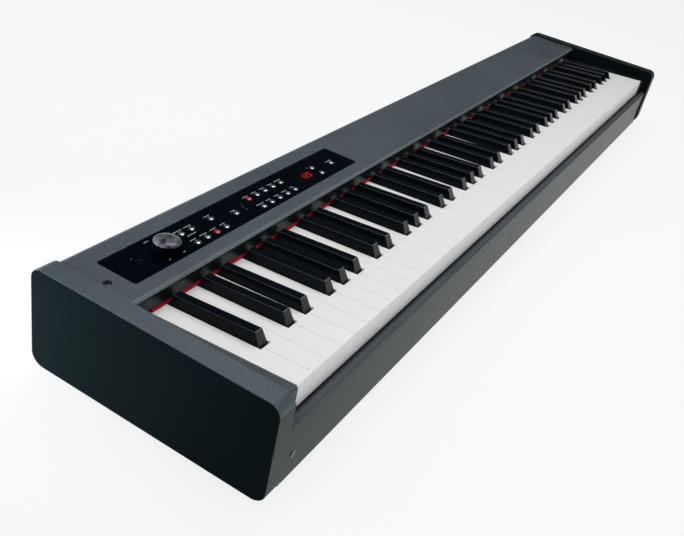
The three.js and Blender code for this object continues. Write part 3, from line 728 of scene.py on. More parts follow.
    def polish(self, piece: Piece, finish: Finish, *nodes: str, body: str = CASE_BODY) -> None:
        """Shade a piece and then dress it."""
        self.shade(piece)
        self.dress(piece, finish, *nodes, body=body)

    def accent(self, piece: Piece, finish: Finish, test: Test) -> None:
        """Give the faces that pass a test a finish of their own.

        Args:
            piece: The piece, dressed already.
            finish: The finish of those faces.
            test: Takes a face's middle and normal.
        """
        piece.data.materials.append(self._paint(finish))
        place = len(piece.data.materials) - 1
        for polygon in piece.data.polygons:
            if test(self.read(polygon.center), polygon.normal):
                polygon.material_index = place

    def repaint(self, node: str, finish: Finish) -> None:
        """Give a carried-over node its finish.

        Args:
            node: The node, which keeps its own shape.
            finish: Its finish.
        """
        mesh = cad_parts[node].data
        mesh.materials.clear()
        mesh.materials.append(self._paint(finish))
        self.finished.append(f"{node}, which keeps its own shape")


@dataclass
class SubAssembly(ABC):
    """A part of the piano that is made at the bench."""

    bench: Bench

    @abstractmethod
    def build(self) -> None:
        """Make every piece of it."""


@dataclass
class EndPanels(SubAssembly):
    """The two end panels, dark outside and grained round their edges.

    The rail's finish goes on the faces with more than the front share of their
    normal towards the player and less than the front lift of it upwards. The outer
    faces' near-black laminate is also painted shade.
    """

    depth: float = 263.0
    height: float = 105.5
    thickness: float = 22.0
    top_radius: float = 12.0
    bottom_radius: float = 14.0
    arc_segments: int = 10
    edge_radius: float = 1.0
    front_share: float = 0.8
    front_lift: float = 0.1

    def build(self) -> None:
        """Make both panels."""
        self._panel("left_end_panel", 0.0, Finishes.SLATE)
        # The right panel is a darker copy of the slate: painted shade.
        self._panel("right_end_panel", CASE_WIDTH - self.thickness, Finishes.SLATE_PAINTED_SHADE)

    def _panel(self, node: str, left: float, finish: Finish) -> None:
        """Make one panel.

        Args:
            node: The node that it stands for.
            left: Its left face.
            finish: The finish of its edges, a copy in painted shade for the right panel.
        """
        bench = self.bench
        piece = bench.block(f"{node}_shell", (left, left + self.thickness), (0.0, self.depth),
                            (0.0, self.height))

        def through(start: Vector, end: Vector) -> bool:
            """Tell whether an edge runs through the panel's thickness."""
            return abs(start.x - end.x) > self.thickness / 2.0

        bench.round_edges(piece, lambda a, b: through(a, b) and a.z > self.height / 2.0,
                          self.top_radius, self.arc_segments)
        bench.round_edges(piece, lambda a, b: through(a, b) and a.z < NEAR,
                          self.bottom_radius, self.arc_segments)
        bench.soften(piece, self.edge_radius, segments=3)
        bench.polish(piece, finish, node)
        # The outer faces: near-black laminate that is also painted shade.
        bench.accent(piece, Finishes.END_FACE_AND_SHADE, lambda middle, normal: abs(normal.x) > FACING)
        bench.accent(piece, Finishes.RAIL, lambda middle, normal: (
            normal.y < -self.front_share and normal.z < self.front_lift))


@dataclass
class TopCover(SubAssembly):
    """The folded cover behind the keys, with its lip, window and screw seats.

    The window's spans are those of its cutter, along X, Y and Z.
    """

    depth: Span = (168.0, REAR_FACE)
    bottom: float = 85.3
    thickness: float = 3.0
    lip_radius: float = 5.0
    rear_radius: float = 9.0
    arc_segments: int = 8
    edge_radius: float = 0.4
    window: tuple[Span, Span, Span] = ((46.0, 434.0), (186.5, 233.5), (96.5, 107.5))
    window_radius: float = 3.0
    corner_segments: int = 6
    seat_radius: float = 4.2

    def build(self) -> None:
        """Make the cover."""
        bench = self.bench
        piece = bench.block("top_cover_shell", BODY_ACROSS, self.depth, (self.bottom, COVER_TOP))
        front = self.depth[0]
        for depth, radius in zip(self.depth, (self.lip_radius, self.rear_radius)):
            bench.round_edges(piece, lambda a, b: self._along_top(a, b, depth), radius, self.arc_segments)
        with bench.editing(piece, Pick.FACE,
                           lambda middle, normal: normal.z < -FACING or abs(normal.x) > FACING):
            bpy.ops.mesh.delete(type="FACE")
        bench.apply(piece, "SOLIDIFY", thickness=self.thickness * MM, offset=-1.0, use_even_offset=True)
        cutter = bench.block("window_cutter", *self.window)
        bench.round_corners(cutter, self.window_radius, self.corner_segments)
        bench.cut(piece, cutter)
        for place in COVER_SCREWS:
            bench.cut(piece, bench.rod("seat_cutter", (*place, COVER_TOP), self.seat_radius,
                                       self.thickness * 4.0))
        bench.soften(piece, self.edge_radius)
        bench.polish(piece, Finishes.SLATE, "top_cover")
        # Painted highlight on the cover's rounded front edge.
        bench.accent(piece, Finishes.COVER_EDGE_HIGHLIGHT, lambda middle, normal: (
            normal.y < -LEANING and normal.z > LEANING and middle.y < front + self.thickness))
        bench.accent(piece, Finishes.LIP,
                     lambda middle, normal: normal.y < -FACING and middle.y < front + NEAR)

    @staticmethod
    def _along_top(start: Vector, end: Vector, depth: float) -> bool:
        """Tell whether an edge runs along the cover's top at a given depth."""
        long = abs(start.x - end.x) > CASE_WIDTH / 2.0
        return long and start.z > COVER_TOP - NEAR and abs(start.y - depth) < NEAR


@dataclass(frozen=True)
class Band:
    """A band of the rail's ledge, which runs on to the ledge's rear.

    It starts at a depth, and takes the faces with more than a share of their normal upwards.
    The bands past the first are painted shade, for the shadow of the key fronts on the ledge.
    """

    finish: Finish
    share: float
    start: float = 0.0


@dataclass
class CaseBody(SubAssembly):
    """The cheek blocks, the right one in painted shade, the front rail with its ledge and screws, and the
    base board.
    """

    cheek_depth: Span = (13.4, 222.0)
    cheek_height: Span = (64.6, 90.32)
    cheek_thickness: float = 24.3
    cheek_front_radius: float = 3.0
    cheek_segments: int = 6
    rail_depth: Span = (3.0, 7.0)
    rail_top: float = 64.3
    ledge_depth: float = 14.6
    ledge_thickness: float = 4.0
    # The bands past the first are painted shade, for the shadow of the key fronts on the ledge.
    ledge_bands: tuple[Band, ...] = (
        Band(Finishes.LEDGE, 0.3),
        Band(Finishes.LEDGE_HALF_SHADE, 0.6, 10.4),
        Band(Finishes.LEDGE_FULL_SHADE, 0.1, 12.6),
    )
    groove_inset: float = 1.6
    groove_width: float = 0.4
    groove_depth: float = 0.6
    edge_radius: float = 0.8
    screw_inset: float = 39.2
    screw_height: float = 28.2
    screw_radius: float = 3.4
    screw_length: float = 1.4
    screw_edge: float = 0.5
    slot: Slot = Slot(4.4, 0.8, 0.4)

    def build(self) -> None:
        """Make every piece of the case body."""
        left, right = BODY_ACROSS
        self._cheek("left_cheek_block", (left, left + self.cheek_thickness), Finishes.CHEEK)
        # The right cheek is a darker copy of the cheek finish: painted shade.
        self._cheek("right_cheek_block", (right - self.cheek_thickness, right), Finishes.CHEEK_PAINTED_SHADE)
        self._rail()
        self._rail_screw("left", self.screw_inset)
        self._rail_screw("right", CASE_WIDTH - self.screw_inset)
        self.bench.repaint("base_board", Finishes.BOARD)

    def _cheek(self, node: str, across: Span, finish: Finish) -> None:
        """Make the cheek block beside an outer key, sloped like the keys.

        Args:
            node: The node that it stands for.
            across: Its span along X.
            finish: Its finish.
        """
        bench = self.bench
        front, rear = self.cheek_depth
        low, high = self.cheek_height
        piece = bench.block(f"{node}_shell", across, self.cheek_depth, self.cheek_height)
        bench.shift(piece, lambda place: place.y > rear - NEAR and place.z > high - NEAR,
                    (0.0, 0.0, -(rear - front) * KEY_SLOPE))
        bench.round_edges(
            piece, lambda a, b: abs(a.x - b.x) > NEAR and a.y < front + NEAR and a.z > (low + high) / 2.0,
            self.cheek_front_radius, self.cheek_segments)
        bench.soften(piece, self.edge_radius)
        bench.polish(piece, finish, node)

    def _rail(self) -> None:
        """Make the front rail: a face board with a grooved ledge on top, in bands of painted shade near the
        keys.
        """
        bench = self.bench
        front, rear = self.rail_depth
        ledge_bottom = self.rail_top - self.ledge_thickness
        piece = bench.block("front_rail_shell", BODY_ACROSS, self.rail_depth, (BODY_BOTTOM, self.rail_top))
        bench.split(piece, Axis.Z, ledge_bottom)
        bench.draw_out(piece, lambda middle, normal: normal.y > FACING and middle.z > ledge_bottom,
                       (0.0, self.ledge_depth - rear, 0.0))
        bench.soften(piece, self.edge_radius, segments=3)
        for band in self.ledge_bands:
            if band.start:
                bench.split(piece, Axis.Y, band.start)
        groove = (front + self.groove_inset, front + self.groove_inset + self.groove_width)
        bench.cut(piece, bench.block("groove", (BODY_ACROSS[0] - SPARE, BODY_ACROSS[1] + SPARE), groove,
                                     (self.rail_top - self.groove_depth, self.rail_top + SPARE)))
        bench.polish(piece, Finishes.RAIL, "front_rail")
        # Paint the ledge's bands, the rear ones in painted shade.
        for band in self.ledge_bands:
            bench.accent(piece, band.finish,
                         lambda middle, normal: normal.z > band.share and middle.y > band.start)

    def _rail_screw(self, side: str, x: float) -> None:
        """Make one of the two screws low on the rail.

        Args:
            side: Either left or right.
            x: Its place along X.
        """
        bench = self.bench
        front = self.rail_depth[0]
        screw = bench.rod(f"rail_screw_{side}", (x, front, self.screw_height), self.screw_radius,
                          self.screw_length, axis=Axis.Y)
        bench.soften(screw, self.screw_edge, segments=3)
        bench.cross(screw, self.slot, (x, front - self.screw_length / 2.0, self.screw_height), Way.FORWARD)
        bench.polish(screw, Finishes.SCREW)


@dataclass
class Keys(SubAssembly):
    """All 88 keys, each its own piece.

    The lifts and the lean are shares of a face's normal, upwards and towards the
    player, which pick out the black keys' edges for their painted highlight and glint.
    """

    LETTERS: ClassVar[str] = "abcdefg"

    white_count: int = 52
    pitch: float = 23.7
    front: float = 15.35
    rear: float = 233.0
    top: float = 90.2
    stick_height: float = 16.0
    skirt_drop: float = 28.0
    skirt_thickness: float = 3.0
    visible_gap: float = 0.22
    edge_radius: float = 0.28
    black_front: float = 66.2
    black_rear: float = 165.0
    black_height: float = 12.0
    black_base: float = 13.4
    black_top: float = 10.2
    black_lean: float = 8.5
    black_rear_lean: float = 1.0
    black_rear_drop: float = 1.6
    black_root: float = 4.0
    black_stick_width: float = 11.0
    black_edge: float = 0.55
    clearance: float = 0.5
    notch_clearance: float = 0.9
    outer_shift: float = 3.3
    inner_shift: float = 2.2
    octave_first: int = 23
    octave_last: int = 29
    highlight_lift: Span = (0.3, 0.97)
    glint_lift: Span = (0.6, 0.97)
    glint_lean: float = 0.25
    models: dict[str, tuple[int, Piece]] = field(default_factory=dict)

    def build(self) -> None:
        """Make the white keys and then the black ones."""
        for index in range(self.white_count):
            self._place_white(index)
        first_black = self._model_black(0)
        for index in range(self.white_count):
            if self._has_black(index):
                self._place_black(first_black, index)
        bpy.data.objects.remove(first_black, do_unlink=True)

    @property
    def left(self) -> float:
        """Give the left side of the lowest key."""
        return (CASE_WIDTH - self.white_count * self.pitch) / 2.0

    @property
    def shifts(self) -> dict[str, float]:
        """Give how far a black key stands off the seam after each white one."""
        return {"a": self.outer_shift, "c": -self.inner_shift, "d": self.inner_shift,
                "f": -self.outer_shift, "g": 0.0}

    def _letter(self, index: int) -> str:
        """Give the note letter of a white key."""
        return self.LETTERS[index % len(self.LETTERS)]

    def _octave(self, index: int) -> int:
        """Give the octave number of a white key, which goes up at each c."""
        return (index + len(self.LETTERS) - self.LETTERS.index("c")) // len(self.LETTERS)

    def _has_black(self, index: int) -> bool:
        """Tell whether a black key follows a white one."""
        return 0 <= index < self.white_count - 1 and self._letter(index) in self.shifts

    def _black_centre(self, index: int) -> float:
        """Give the middle of the black key after a white one."""
        return self.left + (index + 1) * self.pitch + self.shifts[self._letter(index)]

    def _height(self, depth: float) -> float:
        """Give the height of the white tops at a depth."""
        return self.top - (depth - self.front) * KEY_SLOPE

    def _carrier(self, index: int, note: str, kind: str) -> tuple[str, str]:
        """Find the body and the node that a key belongs to.

        Args:
            index: The white key's number, or the one before a black key.
            note: The key's note name.
            kind: Either white or black.

        Returns:
            The body's name and the node's name.
        """
        if index < self.octave_first:
            return "bass_keys", f"bass_{kind}_keys"
        if index > self.octave_last:
            return "treble_keys", f"treble_{kind}_keys"
        return f"key_{note}", f"key_{note}"

    def _place_white(self, index: int) -> None:
        """Make one white key, or copy the one of its shape.

        Args:
            index: The key's number from the left.
        """
        letter = self._letter(index)
        note = f"{letter}{self._octave(index)}"
        name = f"white_key_{note}"
        shape = letter + {0: "first", self.white_count - 1: "last"}.get(index, "")
        if shape in self.models:
            source_index, source = self.models[shape]
            piece = self.bench.copy(source, name, ((index - source_index) * self.pitch, 0.0, 0.0))
        else:
            piece = self._model_white(index, name)
            self.models[shape] = (index, piece)
        body, node = self._carrier(index, note, "white")
        self.bench.dress(piece, Finishes.IVORY, node, body=body)

    def _model_white(self, index: int, name: str) -> Piece:
        """Model a white key: sloped stick, notches beside the black keys and front skirt.

        Args:
            index: The key's number from the left.
            name: The piece's name.

        Returns:
            The key.
        """
        bench = self.bench
        left = self.left + index * self.pitch + self.visible_gap / 2.0
        right = left + self.pitch - self.visible_gap
        bottom = self.top - self.stick_height
        piece = bench.block(name, (left, right), (self.front, self.rear), (bottom, self.top))
        drop = (self.rear - self.front) * KEY_SLOPE
        bench.shift(piece, lambda place: place.y > self.rear - NEAR, (0.0, 0.0, -drop))
        reach = self.black_base / 2.0 + self.clearance
        depth = (self.black_front - self.notch_clearance, self.rear + SPARE)
        height = (bottom - drop - SPARE, self.top + SPARE)
        if self._has_black(index - 1):
            notch = (left - SPARE, self._black_centre(index - 1) + reach)
            bench.cut(piece, bench.block("notch", notch, depth, height))
        if self._has_black(index):
            notch = (self._black_centre(index) - reach, right + SPARE)
            bench.cut(piece, bench.block("notch", notch, depth, height))
        skirt_rear = self.front + self.skirt_thickness
        bench.split(piece, Axis.Y, skirt_rear)
        bench.draw_out(piece, lambda middle, normal: middle.y < skirt_rear and normal.z < -FACING,
                       (0.0, 0.0, self.stick_height - self.skirt_drop))
        bench.soften(piece, self.edge_radius)
        bench.shade(piece)
        return piece

    def _model_black(self, index: int) -> Piece:
        """Model the black key that follows a white one: its cap and the stick under it.

        Args:
            index: The white key's number from the left.

        Returns:
            The key.
        """
        bench = self.bench
        centre = self._black_centre(index)
        base = self._height(self.black_front)
        cap = bench.block("black_key", around(centre, self.black_base), (self.black_front, self.black_rear),
                          (base - self.black_root, base + self.black_height))
        fall = (self.black_rear - self.black_front) * KEY_SLOPE
        bench.shift(cap, lambda place: place.y > self.black_rear - NEAR, (0.0, 0.0, -fall))
        crest = base + self.black_height - fall - 2.0 * NEAR
        bench.shift(cap, lambda place: place.y < self.black_front + NEAR and place.z > crest,
                    (0.0, self.black_lean, -self.black_lean * KEY_SLOPE))
        bench.shift(cap, lambda place: place.y > self.black_rear - NEAR and place.z > crest,
                    (0.0, -self.black_rear_lean, -self.black_rear_drop))
        with bench.editing(cap, Pick.VERTEX, lambda place: place.z > crest):
            bpy.ops.transform.resize(value=(self.black_top / self.black_base, 1.0, 1.0),
                                     center_override=bench.spot((centre, self.black_front, base)))
        bench.round_edges(cap, lambda a, b: a.z > crest and b.z > crest, self.black_edge, segments=2)
        bench.soften(cap, self.edge_radius)
        front = self.black_front + self.black_edge
        height = self._height(front)
        stick = bench.block("black_stick", around(centre, self.black_stick_width), (front, self.rear),
                            (height - self.stick_height, height - self.black_root + SPARE))
        bench.shift(stick, lambda place: place.y > self.rear - NEAR,
                    (0.0, 0.0, -(self.rear - front) * KEY_SLOPE))
        bench.soften(stick, self.edge_radius, segments=1)
        piece = bench.join([cap, stick], "black_key")
        bench.shade(piece)
        return piece

    def _place_black(self, source: Piece, index: int) -> None:
        """Copy the black key to its place, gloss its front, and paint a highlight on its upper edges and a
        glint on its front edge.

        Args:
            source: The modelled key.
            index: The number of the white key before it.
        """
        bench = self.bench
        note = f"{self._letter(index)}_sharp{self._octave(index)}"
        move = self._black_centre(index) - self._black_centre(0)
        piece = bench.copy(source, f"black_key_{note}", (move, 0.0, 0.0))
        body, node = self._carrier(index, note, "black")
        bench.dress(piece, Finishes.EBONY, node, body=body)
        tip = self.black_front + self.black_lean + self.black_edge
        # Painted highlight along the bevelled upper edges.
        low, high = self.highlight_lift
        bench.accent(piece, Finishes.EBONY_EDGE_HIGHLIGHT, lambda middle, normal: (
            low < normal.z < high and middle.z > self.top - self.black_root))
        bench.accent(piece, Finishes.EBONY_TIP, lambda middle, normal: normal.y < -LEANING and middle.y < tip)
        # Painted glint along the front top edge.
        low, high = self.glint_lift
        bench.accent(piece, Finishes.EBONY_PAINTED_GLINT, lambda middle, normal: (
            low < normal.z < high and normal.y < -self.glint_lean and middle.y < tip))


@dataclass(frozen=True)
class ButtonRow:
    """Buttons on one moulded strip, which is a node and a body of the same name.

    The lit ones are numbered from the first.
    """

    name: str
    first: Place
    count: int = 1
    step: Place = (15.0, 0.0)
    lit: tuple[int, ...] = ()
    radius: float = 3.2
    finish: Finish = Finishes.BUTTON

    @property
    def places(self) -> list[Place]:
        """Give the centres of the buttons."""
        (x, y), (step_x, step_y) = self.first, self.step
        return [(x + step_x * number, y + step_y * number) for number in range(self.count)]


@dataclass
class Buttons(SubAssembly):
    """The small buttons in their moulded strips, and the power button."""

    rows: tuple[ButtonRow, ...] = (
        ButtonRow("rear_pair_buttons", (140.2, 215.3), 2),
        ButtonRow("rear_single_button", (185.2, 215.3)),
        ButtonRow("front_row_buttons", (140.2, 195.1), 4, lit=(2,)),
        ButtonRow("middle_single_button", (214.8, 205.2)),
        ButtonRow("rear_bank_buttons", (250.2, 215.3), 5, lit=(0,)),
        ButtonRow("front_bank_buttons", (250.2, 195.1), 5),
        ButtonRow("step_pair_buttons", (371.8, 212.5), 2, (0.0, -14.6)),
        ButtonRow("end_single_button", (404.2, 205.2)),
    )
    power: ButtonRow = ButtonRow("power_button", POWER_PLACE, radius=4.3, finish=Finishes.POWER)
    rise: float = 1.3
    cap_shares: tuple[Place, ...] = (
        (1.0, 0.1), (0.99, 0.36), (0.96, 0.49), (0.92, 0.56), (0.6, 0.89), (0.54, 0.93), (0.4, 0.97),
        (0.25, 0.99), (0.08, 1.0),
    )
    root: float = 0.5
    strip: Span = (96.3, 97.7)
    strip_margin: float = 1.0
    strip_edge: float = 0.3

    def build(self) -> None:
        """Make every row and the power button."""
        for row in (*self.rows, self.power):
            self._row(row)

    def places(self) -> list[Place]:
        """List the centres of all the small buttons."""
        return [place for row in self.rows for place in row.places]

    def _cap(self, place: Place, radius: float) -> Piece:
        """Make one cap, a low dome with a sloping rim.

        Args:
            place: Its centre.
            radius: Its radius.

        Returns:
            The cap.
        """
        rings = [(radius, self.strip[1] - self.root)]
        rings.extend((radius * reach, COVER_TOP + self.rise * height) for reach, height in self.cap_shares)
        return self.bench.turned("cap", place, rings)

    def _row(self, row: ButtonRow) -> None:
        """Make one strip with its caps, the lit ones apart.

        Args:
            row: The row.
        """
        bench = self.bench
        reach = row.radius + self.strip_margin
        across, depth = ((min(ends) - reach, max(ends) + reach) for ends in zip(*row.places))
        strip = bench.block("strip", across, depth, self.strip)
        bench.soften(strip, self.strip_edge, segments=1)
        caps = [self._cap(place, row.radius) for place in row.places]
        dark = [cap for number, cap in enumerate(caps) if number not in row.lit]
        bench.polish(bench.join([strip, *dark], f"{row.name}_caps"), row.finish, row.name, body=row.name)
        for number in row.lit:
            caps[number].name = f"{row.name}_lit_cap"
            bench.polish(caps[number], Finishes.LIT_BUTTON, body=row.name)


@dataclass
class ControlPanel(SubAssembly):
    """The gloss panel with its legends, lamps and number display."""

    SEGMENTS: ClassVar[dict[str, str]] = {"0": "abcdef", "1": "bc", "2": "abged"}

    buttons: Sequence[Place]
    across: Span = (46.3, 433.7)
    depth: Span = (186.8, 233.2)
    thickness: float = 4.5
    corner_radius: float = 2.7
    corner_segments: int = 6
    plate_edge: float = 0.25
    button_hole: float = 3.6
    power_hole: float = 4.7
    knob_hole: float = 3.4
    hole_length: float = 12.0
    bezel_width: float = 0.7
    bezel_span: float = 0.6
    bezel_rise: float = 0.1
    bezel_edge: float = 0.18
    ink: float = 0.06
    ink_root: float = 0.3
    caption_width: float = 0.85
    captions: tuple[Spot, ...] = (
        (140.3, 221.2, 12.0), (155.0, 221.2, 11.0), (185.0, 221.4, 9.0), (140.3, 201.2, 8.0),
        (155.2, 201.2, 11.0), (170.3, 201.2, 9.0), (185.3, 201.2, 8.0), (215.0, 210.8, 7.0),
        (250.0, 220.8, 9.0), (265.0, 220.8, 8.0), (280.0, 220.8, 8.0), (295.0, 220.8, 8.0),
        (310.0, 220.8, 12.0), (250.0, 200.8, 13.0), (265.0, 200.8, 8.0), (280.0, 200.8, 8.0),
        (295.0, 200.8, 9.0), (310.0, 200.8, 6.0), (404.2, 210.2, 12.0), (366.0, 216.5, 1.6),
        (97.8, 192.9, 3.0), (118.1, 192.9, 3.0), (104.1, 227.6, 6.0), (147.5, 208.6, 13.0),
    )
    corner_share: float = 0.45
    display_centre: Place = (348.5, 205.8)
    display_size: Place = (33.4, 16.4)
    display_gap: float = 0.3
    display_height: Span = (95.6, 102.4)
    display_edge: float = 0.3
    reading: str = "120"
    digit_size: Place = (3.7, 8.4)
    digit_pitch: float = 6.5
    digit_stroke: float = 0.75
    digit_gap: float = 0.5
    digit_slant: float = 0.16
    lamp_places: tuple[Place, ...] = ((233.0, 212.0), (229.7, 208.0), (230.5, 203.3), (72.6, 216.7))
    lamp_rings: tuple[Place, ...] = ((0.9, -0.4), (0.9, 0.0), (0.65, 0.15), (0.3, 0.22))

    def build(self) -> None:
        """Make the panel and all that is printed or set into it."""
        self._plate()
        self._bezels()
        self._legends()
        self._display()
        self._lamps()

    def _plate(self) -> None:
        """Make the plate with a hole for each control."""
        bench = self.bench
        low = COVER_TOP - self.thickness
        plate = bench.block("control_panel_plate", self.across, self.depth, (low, COVER_TOP))
        bench.round_corners(plate, self.corner_radius, self.corner_segments)
        across, depth = (around(middle, size + self.display_gap * 2.0)
                         for middle, size in zip(self.display_centre, self.display_size))
        bench.cut(plate, bench.block("display_cutter", across, depth, (low - SPARE, COVER_TOP + SPARE)))
        holes = [(place, self.button_hole, 24) for place in self.buttons]
        holes += [(POWER_PLACE, self.power_hole, 32), (KNOB_PLACE, self.knob_hole, 24)]
        cutters = [bench.rod("hole", (*place, COVER_TOP), radius, self.hole_length, sides)
                   for place, radius, sides in holes]
        bench.cut(plate, bench.join(cutters, "holes"))
        bench.soften(plate, self.plate_edge)
        bench.polish(plate, Finishes.GLOSS, "control_panel")

    def _bezels(self) -> None:
        """Make the raised ring round each small button."""
        bench = self.bench
        rings = []
        for place in self.buttons:
            ring = bench.rod("ring", (*place, COVER_TOP + self.bezel_rise),
                             self.button_hole + self.bezel_width, self.bezel_span)
            bench.cut(ring, bench.rod("hole", (*place, COVER_TOP), self.button_hole, self.hole_length))
            bench.soften(ring, self.bezel_edge)
            rings.append(ring)
        bench.polish(bench.join(rings, "button_bezels"), Finishes.BEZEL)

    def _bar(self, x: float, y: float, length: float, width: float) -> Piece:
        """Add one printed bar.

        Args:
            x: Its middle along X.
            y: Its middle along Y.
            length: Its length along X.
            width: Its width along Y.

        Returns:
            The bar, its corners still sharp.
        """
        height = (COVER_TOP - self.ink_root, COVER_TOP + self.ink)
        return self.bench.block("bar", around(x, length), around(y, width), height)

    def _legends(self) -> None:
        """Print a plain bar where each control has its caption."""
        bench = self.bench
        bars = [self._bar(x, y, length, self.caption_width) for x, y, length in self.captions]
        for bar in bars:
            bench.round_corners(bar, self.caption_width * self.corner_share, segments=3)
        bench.dress(bench.join(bars, "panel_caption_bars"), Finishes.LEGEND)

    def _display(self) -> None:
        """Make the display's window and its three glowing numbers."""
        bench = self.bench
        x, y = self.display_centre
        width, depth = self.display_size
        window = bench.block("display_window", around(x, width), around(y, depth), self.display_height)
        bench.soften(window, self.display_edge)
        bench.polish(window, Finishes.DISPLAY, "display_module")
        strokes = []
        for place, number in enumerate(self.reading):
            strokes.extend(self._number(number, x + (place - 1) * self.digit_pitch, y))
        bench.dress(bench.join(strokes, "display_numbers"), Finishes.DIGIT)

    def _number(self, number: str, x: float, y: float) -> list[Piece]:
        """Make the lit strokes of one number.

        Args:
            number: The number to show.
            x: Its middle along X.
            y: Its middle along Y.

        Returns:
            The strokes.
        """
        width, height = self.digit_size
        side, top, quarter = width / 2.0, height / 2.0, height / 4.0
        spots = {"a": (0.0, top), "g": (0.0, 0.0), "d": (0.0, -top), "b": (side, quarter),
                 "c": (side, -quarter), "e": (-side, -quarter), "f": (-side, quarter)}
        level = (width - self.digit_gap, self.digit_stroke)
        upright = (self.digit_stroke, top - self.digit_gap)
        strokes = []
        for segment in self.SEGMENTS[number]:
            shift_x, shift_y = spots[segment]
            strokes.append(self._stroke(x + shift_x, y + shift_y, *(upright if shift_x else level)))
        return strokes

    def _stroke(self, x: float, y: float, width: float, depth: float) -> Piece:
        """Make one lit stroke, slanted and with its corners taken off.

        Args:
            x: Its middle along X, before the slant.
            y: Its middle along Y.
            width: Its size along X.
            depth: Its size along Y.

        Returns:
            The stroke.
        """
        bench = self.bench
        x += (y - self.display_centre[1]) * self.digit_slant
        stroke = self._bar(x, y, width, depth)
        lean = depth / 2.0 * self.digit_slant
        bench.shift(stroke, lambda place: place.y > y, (lean, 0.0, 0.0))
        bench.shift(stroke, lambda place: place.y < y, (-lean, 0.0, 0.0))
        bench.round_corners(stroke, self.digit_stroke * self.corner_share, segments=1)
        return stroke

    def _lamps(self) -> None:
        """Make the small lamp lenses."""
        bench = self.bench
        rings = [(radius, COVER_TOP + height) for radius, height in self.lamp_rings]
        lenses = [bench.turned("lens", place, rings, sides=16) for place in self.lamp_places]
        bench.polish(bench.join(lenses, "panel_lamps"), Finishes.LAMP)


@dataclass
class VolumeKnob(SubAssembly):
    """The large knob with its domed crown, whose clouded grey colour is painted reflection."""

    rings: tuple[Place, ...] = (
        (13.8, 103.1), (14.2, 103.3), (14.25, 104.2), (13.9, 106.0), (13.6, 109.5), (13.5, 112.0),
        (13.3, 113.1), (12.8, 113.9), (11.9, 114.6), (10.6, 115.2), (8.8, 115.75), (6.4, 116.15),
        (3.6, 116.35), (1.2, 116.42),
    )
    sides: int = 72
    crown_bottom: float = 113.0
    shaft_middle: float = 99.5
    shaft_radius: float = 3.0
    shaft_length: float = 8.0

    def build(self) -> None:
        """Make the knob on its shaft."""
        bench = self.bench
        head = bench.turned("volume_knob_head", KNOB_PLACE, self.rings, self.sides)
        shaft = bench.rod("shaft", (*KNOB_PLACE, self.shaft_middle), self.shaft_radius, self.shaft_length,
                          sides=24)
        knob = bench.join([head, shaft], "volume_knob_head")
        bench.polish(knob, Finishes.KNOB, "volume_knob", body="volume_knob")
        # The crown's clouded grey is painted reflection.
        bench.accent(knob, Finishes.KNOB_CROWN_REFLECTION,
                     lambda middle, normal: normal.z > LEANING and middle.z > self.crown_bottom)


@dataclass
class CoverScrews(SubAssembly):
    """The recessed cross-head screws at the ends of the cover.

    Each ring is a radius and a height from the top of the head.
    """

    top: float = 102.0
    rings: tuple[Place, ...] = (
        (1.2, -16.0), (2.0, -14.0), (2.0, -2.4), (3.8, -0.8), (3.496, -0.25), (2.28, 0.0),
    )
    slot: Slot = Slot(4.4, 0.9, 1.2)

    def build(self) -> None:
        """Make both screws."""
        bench = self.bench
        rings = [(radius, self.top + height) for radius, height in self.rings]
        for side, place in zip(("left", "right"), COVER_SCREWS):
            screw = bench.turned(f"cover_screw_{side}", place, rings)
            bench.cross(screw, self.slot, (*place, self.top), Way.UP)
            bench.polish(screw, Finishes.SCREW, f"{side}_cover_screw")


class SocketKind(Enum):
    """What a socket at the back is for."""

    POWER = "power"
    JACK = "jack"
    DATA = "data"


@dataclass(frozen=True)
class Socket:
    """A socket: its kind, the radius of its hole and the width of its caption."""

    kind: SocketKind
    hole: float
    caption: float


@dataclass(frozen=True)
class Disc:
    """A round part that lies along Y at the back.

    Its middle stands out behind the rear panel's outer face, or inside it where that is below zero.
    """

    name: str
    stand_out: float
    radius: float
    length: float
    sides: int = 32


